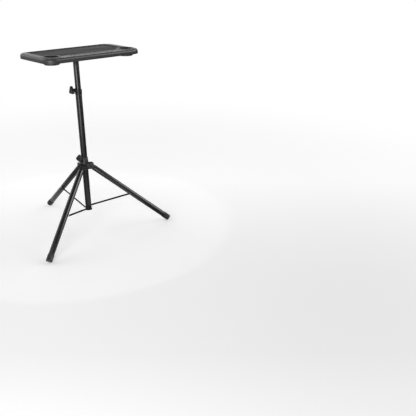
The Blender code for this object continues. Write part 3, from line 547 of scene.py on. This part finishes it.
def make_knob(name):
    """The knob on its own axis, from its neck at 0 to its face, with one lobe along +X."""
    select_only()
    one_corner_on_x = (0.0, 0.0, -pi / 2)
    bpy.ops.mesh.primitive_circle_add(
        vertices=3, radius=corner_reach, fill_type="NGON", rotation=one_corner_on_x)
    knob = bpy.context.object
    knob.name = name
    settle(knob)
    edit(knob)
    round_corners(corner_rounding, 14)
    bpy.ops.mesh.select_all(action="SELECT")
    bpy.ops.transform.translate(value=(0.0, 0.0, grip_start))
    thicken(grip_thickness)
    soften(knob, 0.0032, 5)
    combine(knob, peg("neck", 0.0080, 0.0, 0.006), "UNION")
    combine(knob, turned("dish", [(0.0056, 0.0125), (0.0068, 0.0165)], 48))
    combine(knob, peg("stud_bore", stud_hole_radius, -0.001, 0.0085, 32))
    return soften(knob, 0.0006, 3, 42.0)


def on_screw(screw, reach, turn):
    """A knob's place, so far out along its screw and turned so many degrees about it."""
    return screw @ Matrix.Translation((0.0, 0.0, reach)) @ Matrix.Rotation(radians(turn), 4, "Z")


height_knob = make_knob("height_clamp_knob")
hub_knob = copy_of(height_knob, "hub_clamp_knob")
settle(height_knob, on_screw(height_screw, 0.0306, -57.0))
stand_in(height_knob, "height_knob", fitting_plastic)
hub_screw = screw_axis(0.43963, radians(184.0))
settle(hub_knob, on_screw(hub_screw, 0.0258, -76.5))
stand_in(hub_knob, "hub_knob", fitting_plastic)

# %% [markdown]
# ## The sliding hub
# The hub is a steel sleeve with three pairs of cheeks, one pair for each leg, and the leg's eye turns between
# them. A cheek is a rectangle with its two outer corners rounded, extruded to the thickness of the plate. All
# six are made first and then joined to the sleeve, as they would be welded on.

# %% One cheek of a clevis
pivot_reach = 0.0360
pivot_height = 0.38603
cheek_length, cheek_tall = 0.0508, 0.0320
cheek_middle = pivot_height + 0.0020
lower_rounding, upper_rounding = 0.015, 0.014
near_enough = 0.0001


def make_cheek(name, low, high):
    """One cheek in its leg's plane, from the pole outward, with its two outer corners rounded."""
    cheek = plane_from(name, (cheek_length, cheek_tall), (cheek_length / 2, cheek_middle, low))
    for below, rounding in ((True, lower_rounding), (False, upper_rounding)):
        edit(cheek)
        bpy.ops.mesh.select_all(action="DESELECT")
        bpy.ops.object.mode_set(mode="OBJECT")
        for vertex in cheek.data.vertices:
            at_end = vertex.co.x > cheek_length - near_enough
            at_corner = abs(abs(vertex.co.y - cheek_middle) - cheek_tall / 2) < near_enough
            vertex.select = at_end and at_corner and (vertex.co.y < cheek_middle) == below
        bpy.ops.object.mode_set(mode="EDIT")
        round_corners(rounding, 10)
        bpy.ops.object.mode_set(mode="OBJECT")
    edit(cheek)
    thicken(high - low)
    return cheek


cheeks = []
stood_up = Matrix.Rotation(radians(90.0), 4, "X")
for side, azimuth in leg_azimuths.items():
    for low, high in ((-0.0193, -0.0163), (0.0163, 0.0193)):
        cheek = make_cheek(f"{side}_cheek", low, high)
        cheeks.append(settle(cheek, on_pole(0.0, azimuth) @ stood_up))
print("made", len(cheeks), "cheeks")

# %% [markdown]
# The sleeve tapers at its top, where the boss for the hub's knob stands. Everything solid is joined before
# any bore is cut, so that the pole's bore also trims the inner ends of the cheeks.

# %% Leg hub
def at_hinge(azimuth):
    """A leg's hinge, with +X outward from the pole."""
    return on_pole(0.0, azimuth) @ Matrix.Translation((pivot_reach, 0.0, pivot_height))


pin_hole_radius = 0.0033
hub = settle(turned("sliding_leg_hub", [
    (0.0202, 0.37053), (0.0210, 0.3713), (0.0210, 0.4275), (0.0206, 0.4286), (0.0192, 0.4400),
    (0.0184, 0.44103)], 72), on_pole())
for cheek in cheeks:
    combine(hub, cheek, "UNION")
combine(hub, settle(peg("boss", 0.0090, 0.0, 0.0255), hub_screw), "UNION")
combine(hub, settle(peg("bore", 0.0178, 0.36, 0.46, 72), on_pole()))
for azimuth in leg_azimuths.values():
    combine(hub, settle(peg("pin_hole", pin_hole_radius, -0.03, 0.03, 24), at_hinge(azimuth) @ along_y))
combine(hub, settle(peg("stud_hole", stud_hole_radius, 0.010, 0.05, 24), hub_screw))
soften(hub, 0.0006)
stand_in(hub, "leg_hub", hub_coat)

# %% [markdown]
# ## One leg, made once
# The three legs are alike, so each of their pieces is modelled once along +Z, with the hinge pin at the
# origin, and copied to the three leg planes. The knuckle is a plug in the tube's top with an eye for the pin.

# %% Knuckle and leg tube
leg_slope = radians(40.4)


def leg_place(azimuth):
    """A leg's place: its +Z runs outward and down from the hinge."""
    return at_hinge(azimuth) @ Matrix.Rotation(radians(90.0) + leg_slope, 4, "Y")


plug_radius, leg_radius = 0.0142, 0.0160
knuckle = turned("knuckle", [
    (plug_radius, 0.0), (plug_radius, 0.0162), (leg_radius, 0.0162), (leg_radius, 0.0192),
    (plug_radius, 0.0192), (plug_radius, 0.0475)], 48)
combine(knuckle, settle(peg("eye", 0.0140, -0.0160, 0.0160), along_y), "UNION")
combine(knuckle, settle(peg("pin_hole", pin_hole_radius, -0.03, 0.03, 24), along_y))
soften(knuckle, 0.0009)
tube_start, tube_end = 0.0195, 0.5664
leg_tube = make_tube("leg_tube", leg_radius, tube_start, tube_end)
print("leg tube", round(tube_end - tube_start, 4), "m long")

# %% [markdown]
# The foot is a rubber cap with three grooves round it. It is cut level where it meets the floor, but only
# after it is copied to its leg, because the cut is level in the world and not across the leg.

# %% Foot cap
foot_radius, groove_radius = 0.0178, 0.0172
foot_profile = [(0.0163, 0.5667), (0.0163, 0.5384), (0.0170, 0.5384), (foot_radius, 0.5392)]
for level in (0.5470, 0.5520, 0.5570):
    foot_profile += [
        (foot_radius, level), (groove_radius, level + 0.0008), (groove_radius, level + 0.0016),
        (foot_radius, level + 0.0024)]
foot_profile += [(foot_radius, 0.5764), (0.0172, 0.5778), (0.0158, 0.5784)]
foot = turned("foot", foot_profile, 64)
print("a foot is", len(foot_profile), "rings")

# %% [markdown]
# Pins and rivets have domed heads, which are caps of a ball. From the head's radius and height follows the
# ball's radius, and a few steps along it make the rings.

# %% Hinge pin
def dome(radius, height, base, shank, steps=5):
    """A rivet head's profile, from its shank at the base to its crown."""
    ball = (radius ** 2 + height ** 2) / (2 * height)
    reach = asin(radius / ball)
    points = [(shank, base), (radius, base)]
    for step in range(1, steps):
        angle = reach * (1 - step / steps)
        points.append((ball * sin(angle), base + height - ball * (1 - cos(angle))))
    return points


pin_tail = [(0.0046, -0.0214), (0.0055, -0.0206), (0.0055, -0.0196), (0.0030, -0.0196)]
hinge_pin = turned("hinge_pin", pin_tail + dome(0.0055, 0.0020, 0.0196, 0.0030), 32)
print("a hinge pin has", len(hinge_pin.data.polygons), "faces")

# %% Set the three legs
for side, azimuth in leg_azimuths.items():
    place = leg_place(azimuth)
    plugged = settle(copy_of(knuckle, f"{side}_leg_knuckle"), place)
    stand_in(plugged, f"leg_{side}_knuckle", fitting_plastic)
    steel = settle(copy_of(leg_tube, f"{side}_leg_steel"), place)
    stand_in(steel, f"leg_{side}_tube", tube_coat)
    sole = settle(copy_of(foot, f"{side}_foot_cap"), place)
    edit(sole)
    bpy.ops.mesh.bisect(plane_co=(0.0, 0.0, 0.0), plane_no=(0.0, 0.0, 1.0), use_fill=True, clear_inner=True)
    bpy.ops.object.mode_set(mode="OBJECT")
    stand_in(soften(sole, 0.0003, 2), f"foot_{side}", foot_rubber)
    pin = settle(copy_of(hinge_pin, f"{side}_hinge_pin"), at_hinge(azimuth) @ along_y)
    stand_in(soften(pin, 0.0002, 2), f"leg_{side}_pin", tube_coat)
clear_away(knuckle, leg_tube, foot, hinge_pin)

# %% [markdown]
# ## The braces
# Flat bars hold the legs apart. Each one turns on a rivet through the outer tube's wall and carries a second
# rivet at the leg. A bar is a plate with fully rounded ends, and its rivets are turned with domed heads.

# %% Brace bar and its rivets
brace_length = 0.27372
brace_slope = radians(11.999)
brace_face = 0.0178
brace_root_height = 0.1319
bar_wide, bar_thick = 0.010, 0.0025
almost_half_wide = 0.00499

bar = rounded_plate("brace_bar", (brace_length + bar_wide, bar_wide), almost_half_wide, 0.0, bar_thick, 10)
settle(bar, Matrix.Translation((brace_length / 2, 0.0, 0.0)))
for reach in (0.0, brace_length):
    combine(bar, settle(peg("hole", 0.0028, -0.01, 0.01, 32), Matrix.Translation((reach, 0.0, 0.0))))
soften(bar, 0.0004)
leg_rivet = turned("leg_rivet", [(0.0025, -0.0015)] + dome(0.0050, 0.0020, 0.0028, 0.0025), 32)
rivet_tail = [(0.0040, 0.01369), (0.0040, 0.01519), (0.0025, 0.01519)]
tube_rivet = turned("tube_rivet", rivet_tail + dome(0.0050, 0.0020, 0.0206, 0.0025), 32)
print("a bar is", round(brace_length + bar_wide, 5), "m long")

# %% Set the three braces
for side, azimuth in leg_azimuths.items():
    root = on_pole(0.0, azimuth) @ Matrix.Translation((0.0, brace_face, brace_root_height))
    bar_place = root @ Matrix.Rotation(-brace_slope, 4, "Y") @ along_y
    stand_in(settle(copy_of(bar, f"{side}_brace_bar"), bar_place), f"brace_{side}", bar_coat)
    rivet_place = bar_place @ Matrix.Translation((brace_length, 0.0, 0.0))
    rivet = soften(settle(copy_of(leg_rivet, f"{side}_leg_rivet"), rivet_place), 0.0002, 2)
    stand_in(rivet, f"brace_{side}_pivot", zinc)
    root_place = on_pole(brace_root_height, azimuth) @ along_y
    rivet = soften(settle(copy_of(tube_rivet, f"{side}_tube_rivet"), root_place), 0.0002, 2)
    stand_in(rivet, f"brace_{side}_rivet", zinc)
clear_away(bar, leg_rivet, tube_rivet)

# %% [markdown]
# ## The tray
# The tray is one moulding: a broad rounded rim with a skirt below it, a shallow recess for the mat, a hole
# for each cup, and a groove to stand things in. It starts as a rounded block. Its rim is beveled while the
# shape is still simple, and the hollows are cut afterwards, so that the bevel never has to run round them.

# %% Tray block with its rounded rim
tray_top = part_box("tray_shell")[1].z
tray_middle = pole_axis + Vector((0.0, -0.056, 0.0))
at_tray = Matrix.Translation(tray_middle)
skirt_depth = 0.0252


def round_top_rim(piece, level, width, steps):
    """Bevels the edges that lie in one level plane."""
    edit(piece)
    bpy.ops.mesh.select_all(action="DESELECT")
    bpy.ops.object.mode_set(mode="OBJECT")
    for edge in piece.data.edges:
        edge.select = all(abs(piece.data.vertices[index].co.z - level) < 0.00001 for index in edge.vertices)
    bpy.ops.object.mode_set(mode="EDIT")
    bpy.ops.mesh.select_mode(type="EDGE")
    bpy.ops.mesh.bevel(offset=width, segments=steps, affect="EDGES")
    bpy.ops.mesh.select_mode(type="VERT")
    bpy.ops.object.mode_set(mode="OBJECT")


tray = rounded_plate("moulded_tray", (0.566, 0.315), 0.055, tray_top - skirt_depth, tray_top, 20)
round_top_rim(tray, tray_top, 0.0120, 10)
settle(tray, at_tray)
print("tray block", [round(length, 3) for length in tray.dimensions], "with its top at", round(tray_top, 4))

# %% [markdown]
# From below, a hollow leaves the skirt and a plate. From above come the recess, which keeps a border round
# each cup, the cups' holes and the groove. Tools that cut right through reach well past the tray, because a
# Boolean is unsure of faces that coincide.

# %% Hollow, recess, cup holes and groove
cup_sides = {"left": -1, "right": 1}
cup_x = 0.2235
cup_y = pole_axis.y - 0.147
at_recess = Matrix.Translation((0.0, pole_axis.y - 0.033, 0.0))
cut_low, cut_high = tray_top - 0.05, tray_top + 0.05


def at_cup(side, height=0.0):
    return Matrix.Translation((cup_sides[side] * cup_x, cup_y, height))


def cut_round_cups(piece, name, radius):
    """Cuts an upright round hole about each cup's axis."""
    for side in cup_sides:
        combine(piece, settle(peg(name, radius, cut_low, cut_high, 72), at_cup(side)))


pocket = rounded_plate("pocket", (0.560, 0.309), 0.052, cut_low, tray_top - 0.0095, 20)
combine(tray, settle(pocket, at_tray))
recess = rounded_plate("recess", (0.482, 0.241), 0.030, tray_top - 0.0065, tray_top + 0.02, 16)
settle(recess, at_recess)
cut_round_cups(recess, "cup_border", 0.0510)
combine(tray, recess)
cut_round_cups(tray, "cup_hole", 0.0388)
groove = rounded_plate("groove", (0.270, 0.012), 0.00599, tray_top - 0.006, tray_top + 0.02, 10)
combine(tray, settle(groove, Matrix.Translation((0.0, pole_axis.y - 0.1735, 0.0))))
print("tray cut, now", len(tray.data.polygons), "faces")

# %% [markdown]
# Four ribs stiffen the plate from below, and a round pad takes the screws of the pole's socket. A rib is a
# plain block that ends inside the skirt, so nothing of its ends shows.

# %% Ribs, pad and screw holes
def block(name, size, middle):
    select_only()
    bpy.ops.mesh.primitive_cube_add(size=1.0, location=middle)
    thing = bpy.context.object
    thing.name = name
    thing.scale = size
    return settle(thing)


for x in (-0.16, -0.08, 0.08, 0.16):
    rib = block("rib", (0.0020, 0.3120, 0.0095), (x, tray_middle.y, tray_top - 0.01275))
    combine(tray, rib, "UNION")
combine(tray, settle(peg("pad", 0.058, tray_top - 0.0145, tray_top - 0.0085, 72), on_pole()), "UNION")
screw_circle = 0.040
screw_hole_radius = 0.0022
screw_spots = []
for turn in (45, 135, 225, 315):
    angle = radians(turn)
    screw_spots.append((screw_circle * cos(angle), screw_circle * sin(angle), 0.0))
for spot in screw_spots:
    hole = peg("screw_hole", screw_hole_radius, tray_top - 0.02, tray_top - 0.0085, 20)
    combine(tray, settle(hole, on_pole() @ Matrix.Translation(spot)))
soften(tray, 0.0008, 3, 45.0)
stand_in(tray, "tray_shell", tray_plastic)

# %% [markdown]
# The mat is a thin rubber sheet that drops into the recess. It is cut from the recess's own outline, a little
# smaller, so its edge follows the moulding all the way round and keeps clear of the cups.

# %% Tray mat
mat = rounded_plate("tray_grip_mat", (0.4808, 0.2398), 0.0294, tray_top - 0.0062, tray_top - 0.0050, 16)
settle(mat, at_recess)
cut_round_cups(mat, "notch", 0.0516)
soften(mat, 0.0003, 2)
stand_in(mat, "tray_mat", mat_rubber)

# %% [markdown]
# The cups are separate mouldings that hang in the tray's holes by a rolled lip. One is turned from its
# profile, out and up the outside, over the lip and down into the bore, and the other is a copy.

# %% Cup holders
def curve(middle, radius, start, end, steps=6):
    """Points of a rounded corner in a profile, with its angles in degrees."""
    turns = [radians(start + (end - start) * step / steps) for step in range(steps + 1)]
    return [(middle[0] + radius * cos(turn), middle[1] + radius * sin(turn)) for turn in turns]


cup_radius, lip_radius, lip_roll = 0.0385, 0.0470, 0.00136
cup_profile = curve((0.0345, -0.0330), 0.0040, -89, 0)
cup_profile += [(cup_radius, 0.0003), (lip_radius, 0.0003)]
cup_profile += curve((0.04564, 0.00064), lip_roll, 0, 90) + curve((0.03686, 0.00064), lip_roll, 90, 180)
cup_profile += curve((0.0330, -0.0315), 0.0025, 0, -89)
cup = turned("cup", cup_profile, 72)
print("a cup is", len(cup_profile), "rings of 72 points")

# %% [markdown]
# Each cup's bore is rougher than its lip, because what stands in it scuffs it and nobody polishes it.
# Its colour is also darkened, as painted shade down inside the hole. The bore is found by its distance from
# the cup's own axis, and both cups share the pattern, as one mirrors the other. The tray's own recipe comes
# first, and its colour and roughness are then scaled by that distance.

# %% Plastic of the cups
def distance_from_cup_axis(material):
    """The level distance from the nearer cup's axis, by folding X and Y over to one side."""
    place = object_place(material)
    cup_axis, level_only = (cup_x, abs(cup_y), 0.0), (1.0, 1.0, 0.0)
    for operation, values in (("ABSOLUTE", {}), ("SUBTRACT", {1: cup_axis}), ("MULTIPLY", {1: level_only})):
        place = fed_by(place, "ShaderNodeVectorMath", 0, values, operation=operation).outputs["Vector"]
    return fed_by(place, "ShaderNodeVectorMath", 0, operation="LENGTH").outputs["Value"]


def make_cup_plastic():
    bore_to_lip = (0.0372, 0.0378)
    painted_bore_shade, rougher = 0.30, 1.9
    plastic = make_moulded_plastic("cup_holder_plastic", *charcoal)
    shader = plastic.node_tree.nodes["Principled BSDF"]
    distance = distance_from_cup_axis(plastic)
    colour, roughness = (shader.inputs[name].links[0].from_socket for name in ("Base Color", "Roughness"))
    # The bore's colour is scaled down to 30% here: painted shade inside the hole.
    painted_shade_scale = fed_by(colour, "ShaderNodeVectorMath", 0, operation="SCALE")
    wire(spread(distance, painted_bore_shade, 1.0, *bore_to_lip), painted_shade_scale.inputs["Scale"])
    wire(painted_shade_scale.outputs["Vector"], shader.inputs["Base Color"])
    scuffs = joined("MULTIPLY", roughness, spread(distance, rougher, 1.0, *bore_to_lip))
    wire(scuffs, shader.inputs["Roughness"])
    return plastic


cup_plastic = make_cup_plastic()
print("made", cup_plastic.name)

# %% Set the cups in the tray
soften(cup, 0.0002, 2)
for side in cup_sides:
    holder = settle(copy_of(cup, f"{side}_cup"), at_cup(side, tray_top))
    stand_in(holder, f"cup_holder_{side}", cup_plastic)
clear_away(cup)

# %% [markdown]
# ## Under the tray
# A flanged steel socket joins the tray to the pole. It is turned with its bore in the same profile, from the
# flange's edge in to the neck, down, and back up inside.

# %% Pole socket
flange_top = tray_top - 0.0148
flange_low = flange_top - 0.0030
neck_end = flange_low - 0.034
flange_radius, neck_radius, socket_bore = 0.0520, 0.0203, 0.0158
socket_profile = [(flange_radius, flange_top), (flange_radius, flange_low)]
socket_profile += curve((0.0243, flange_low - 0.0040), 0.0040, 90, 180)
socket_profile += [(neck_radius, neck_end), (socket_bore, neck_end), (socket_bore, flange_low)]
socket = settle(turned("tray_pole_socket", socket_profile, 72), on_pole())
for spot in screw_spots:
    hole = peg("screw_hole", screw_hole_radius, flange_low - 0.01, flange_top + 0.01, 20)
    combine(socket, settle(hole, on_pole() @ Matrix.Translation(spot)))
clamp_line = on_pole(flange_low - 0.020) @ along_y
combine(socket, settle(peg("clamp_hole", 0.0028, 0.005, 0.05, 24), clamp_line))
soften(socket, 0.0005)
stand_in(socket, "tray_socket", tube_coat)

# %% [markdown]
# Four pan-head screws hold the flange to the tray, heads down. The cross recess is cut with two thin blocks
# at right angles. One screw is made and copied to the four holes.

# %% Flange screws
pan_screw = turned("pan_screw", [
    (0.0019, 0.0087), (0.0019, -0.0003), (0.0040, -0.0003), (0.0040, -0.0015), (0.0034, -0.0023),
    (0.0020, -0.0027)], 28)
for turn in (0.0, 90.0):
    blade = block("blade", (0.0044, 0.0008, 0.0020), (0.0, 0.0, -0.0027))
    combine(pan_screw, settle(blade, Matrix.Rotation(radians(turn), 4, "Z")))
soften(pan_screw, 0.00012, 2)
for index, spot in enumerate(screw_spots, start=1):
    place = on_pole(flange_low) @ Matrix.Translation(spot)
    screw = settle(copy_of(pan_screw, f"flange_screw_{index}"), place)
    stand_in(screw, f"tray_screw_{index}", zinc)
clear_away(pan_screw)

# %% [markdown]
# One socket-head screw grips the pole through the neck. Its hexagon is a cylinder with six sides, cut from
# the turned head.

# %% Grip screw
grip_screw = turned("pole_grip_screw", [
    (0.0025, 0.0158), (0.0025, 0.0206), (0.0045, 0.0206), (0.0045, 0.0241)], 32)
select_only()
bpy.ops.mesh.primitive_cylinder_add(vertices=6, radius=0.0023, depth=0.006, location=(0.0, 0.0, 0.0247))
combine(grip_screw, settle(bpy.context.object))
soften(grip_screw, 0.0002, 2)
stand_in(settle(grip_screw, clamp_line), "socket_clamp_screw", zinc)

# %% [markdown]
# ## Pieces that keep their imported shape
# The two studs and the plug in the sliding pole are plain turned pieces, mostly out of sight, so their packed
# shape is already right, and only their finish is changed.

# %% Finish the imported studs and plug
for node, material in (("height_stud", zinc), ("hub_stud", zinc), ("pole_glide", fitting_plastic)):
    frame["nodes"][node].material_slots[0].material = material
    print(node, "finished in", material.name)

# %% [markdown]
# ## Camera
# The camera stands where the photograph was taken from: on the cups' side of the desk, to the left and above
# the tray, and it looks down by about 23 degrees. Its heading also tells the floor which way is away from the
# camera.

# %% Camera at the photograph's angle
heading = radians(43.86)
tilt = radians(66.85)
bpy.ops.object.camera_add(location=(-1.6648, -2.8714, 1.4658), rotation=(tilt, 0.0, -heading))
camera = bpy.context.object
camera.data.lens = 49.75
camera.data.sensor_width = 36.0
bpy.context.scene.camera = camera
bpy.context.scene.view_settings.view_transform = "Standard"
print("camera at", [round(value, 3) for value in camera.location], "with a lens of", camera.data.lens)

# %% [markdown]
# ## Floor
# The floor is one wide pale disc. It takes the desk's shadow near its feet, and further out it turns into
# plain white. A curved paper sweep would do the same in a studio, but a flat disc lets every view keep its
# floor. The Light Path node tells rays from the camera from rays that are mirrored in the tubes, so each can
# be shown a floor of its own.

# %% A wide disc and its paint
bpy.ops.mesh.primitive_circle_add(vertices=96, radius=60.0, fill_type="NGON")
floor = bpy.context.object
floor.name = "studio_floor"
plain_white = (1.0, 1.0, 1.0, 1.0)
floor_paint, floor_shader = new_finish("pale_floor", 0.9, specular=0.1)
floor_shader.inputs["Emission Color"].default_value = plain_white
floor.data.materials.append(floor_paint)
print(floor.name, "is stage and not part of the desk")

# %% [markdown]
# A spot on the floor is told by its distance from the middle or along one direction. A ramp rises or falls
# between two such distances, and ramps are multiplied, or the larger one is taken.

# %% Distances and ramps over the floor
def far_along(place, direction):
    """How far a place lies in one direction."""
    return fed_by(place, "ShaderNodeVectorMath", 0, {1: direction}, operation="DOT_PRODUCT").outputs["Value"]


def rising(value, start, end):
    return spread(value, 0.0, 1.0, start, end)


def falling(value, start, end):
    return spread(value, 1.0, 0.0, start, end)


floor_place = object_place(floor_paint)
away = Vector((sin(heading), cos(heading), 0.0))
how_deep = far_along(floor_place, away)
how_right = far_along(floor_place, Vector((away.y, -away.x, 0.0)))
along_tray = far_along(floor_place, Vector((1.0, 0.0, 0.0)))
across_tray = far_along(floor_place, Vector((0.0, 1.0, 0.0)))
from_middle = fed_by(floor_place, "ShaderNodeVectorMath", 0, operation="LENGTH").outputs["Value"]
print("away from the camera is", [round(value, 3) for value in away])

# %% [markdown]
# The camera sees a floor of 80% white with a little light of its own, more of it further back, and all of it
# fades to plain white further out. Other rays see a floor that darkens with distance, and mirrored ones a
# quarter of that, because glossy black tubes look black only where they mirror something dark.

# %% How light the floor is
seen = floor_paint.node_tree.nodes.new("ShaderNodeLightPath")
watching = seen.outputs["Is Camera Ray"]
mirrored = joined("MAXIMUM", seen.outputs["Is Glossy Ray"], seen.outputs["Is Transmission Ray"])
paper = joined("MULTIPLY", spread(from_middle, 0.85, 0.12, 0.9, 1.6), spread(mirrored, 1.0, 0.25, 0.0, 1.0))
paper = joined("MAXIMUM", paper, spread(watching, 0.0, 0.80, 0.0, 1.0))
wire(paper, floor_shader.inputs["Base Color"])
even = joined("MULTIPLY", spread(how_deep, 0.06, 0.40, -1.3, 0.7), watching)
wire(even, floor_shader.inputs["Emission Strength"])
fade_start, fade_end = 1.4, 3.6
faded = joined("MULTIPLY", spread(from_middle, 0.0, 1.0, fade_start, fade_end, "SMOOTHSTEP"), watching)
print("the camera sees plain white from", fade_end, "m")

# %% [markdown]
# The light bands along the legs are painted reflections: patches of floor that glow plain white for mirrored
# rays only, one behind the desk as the camera sees it, one under the tripod and one before it, each with soft
# edges.

# %% Glowing patches painted in for the legs to mirror
behind = joined(
    "MULTIPLY", rising(how_deep, -0.1, 0.5), falling(how_right, 0.3, 1.0),
    spread(how_right, 0.45, 1.0, -2.2, -1.6))
cup_side_or_right = joined("MAXIMUM", falling(across_tray, -0.20, -0.12), rising(along_tray, -0.08, -0.02))
below = joined(
    "MULTIPLY", cup_side_or_right, falling(along_tray, 0.12, 0.25), falling(from_middle, 0.6, 0.9),
    falling(across_tray, 0.06, 0.22))
before = joined("MULTIPLY", rising(how_deep, -2.5, -1.9), falling(how_deep, -1.3, -0.9))
# Painted reflections: these patches glow white only for mirrored rays.
mirror_only_glow = joined("MULTIPLY", joined("MAXIMUM", behind, below, before), mirrored)
print("white patches: behind, below and before the desk")

# %% Blend the floor with white
white = floor_paint.node_tree.nodes.new("ShaderNodeEmission")
white.inputs["Color"].default_value = plain_white
blend = fed_by(joined("MAXIMUM", faded, mirror_only_glow), "ShaderNodeMixShader", 0)
wire(floor_shader.outputs["BSDF"], blend.inputs[1])
wire(white.outputs["Emission"], blend.inputs[2])
wire(blend.outputs["Shader"], floor_paint.node_tree.nodes["Material Output"].inputs["Surface"])
print("floor paint has", len(floor_paint.node_tree.nodes), "nodes")

# %% [markdown]
# ## Light
# Two large soft lamps stand beside the camera: a tall key lamp on its left, and a weak one low down on its
# right, which reaches under the tray. Area lamps give soft shadows by their size alone.

# %% Key lamp and low fill
def soft_lamp(name, size, brightness, place, target):
    """A rectangular lamp whose brightness is its radiance, so its power follows its size."""
    bpy.ops.object.light_add(type="AREA", location=place)
    lamp = bpy.context.object
    lamp.name = name
    lamp.data.shape = "RECTANGLE"
    lamp.data.size, lamp.data.size_y = size
    lamp.data.energy = brightness * pi * size[0] * size[1]
    lamp.rotation_euler = (Vector(target) - Vector(place)).to_track_quat("-Z", "Y").to_euler()
    print(name, round(lamp.data.energy, 1), "W")


soft_lamp("key_lamp", (2.0, 2.8), 6.3, (-2.70, -2.48, 1.40), (0.0, -0.1, 1.40))
soft_lamp("low_fill", (2.0, 1.1), 1.2, (-1.30, -4.11, 0.56), (0.0, -0.1, 0.56))

# %% [markdown]
# The surround is dim, with a few soft patches of light in it. They are what the poles and the hub mirror. A
# patch is full within one angle of its middle and gone at another.

# %% Soft patches in the surround
world = bpy.data.worlds.new("pale_surround")
bpy.context.scene.world = world
world.use_nodes = True
world_nodes = world.node_tree.nodes
looking_along = world_nodes.new("ShaderNodeTexCoord").outputs["Generated"]


def glow(azimuth, elevation, full, none, strength):
    """A soft patch of light round a direction, with all its angles in degrees."""
    round_z = Matrix.Rotation(radians(azimuth), 3, "Z")
    raised = Matrix.Rotation(radians(-elevation), 3, "Y")
    nearness = far_along(looking_along, round_z @ raised @ Vector((1.0, 0.0, 0.0)))
    edge = (cos(radians(none)), cos(radians(full)))
    return spread(nearness, 0.0, strength, *edge, "SMOOTHSTEP")


right_glow = glow(322.0, 25.0, 14.0, 27.0, 5.0)
back_glow = glow(78.0, 0.0, 44.0, 62.0, 1.05)
left_glow = glow(170.0, 12.0, 15.0, 35.0, 1.2)
high_glow = glow(125.0, 35.0, 12.0, 26.0, 1.2)
leg_glow = glow(352.0, 38.0, 8.0, 24.0, 1.5)
print("made five patches")

# %% [markdown]
# The strong patch on the right is meant for the gloss on the poles. Rays from matt surfaces see it at 30%, so
# that the feet's shadows don't all fall to the left. The camera itself sees plain white.

# %% Join the patches over a dim surround
looked_at = world_nodes.new("ShaderNodeLightPath")
right_glow = joined("MULTIPLY", right_glow, spread(looked_at.outputs["Is Glossy Ray"], 0.3, 1.0, 0.0, 1.0))
dim = world_nodes.new("ShaderNodeValue").outputs["Value"]
dim.default_value = 0.12
level = joined("ADD", dim, right_glow, back_glow, left_glow, high_glow, leg_glow)
strength = fed_by(looked_at.outputs["Is Camera Ray"], "ShaderNodeMix", "Factor", {"B": 1.0})
wire(level, strength.inputs["A"])
world_nodes["Background"].inputs["Color"].default_value = plain_white
wire(strength.outputs["Result"], world_nodes["Background"].inputs["Strength"])
print("surround has", len(world_nodes), "nodes")

# %% [markdown]
# ## Finish

# %% Finish
print("finished the desk")
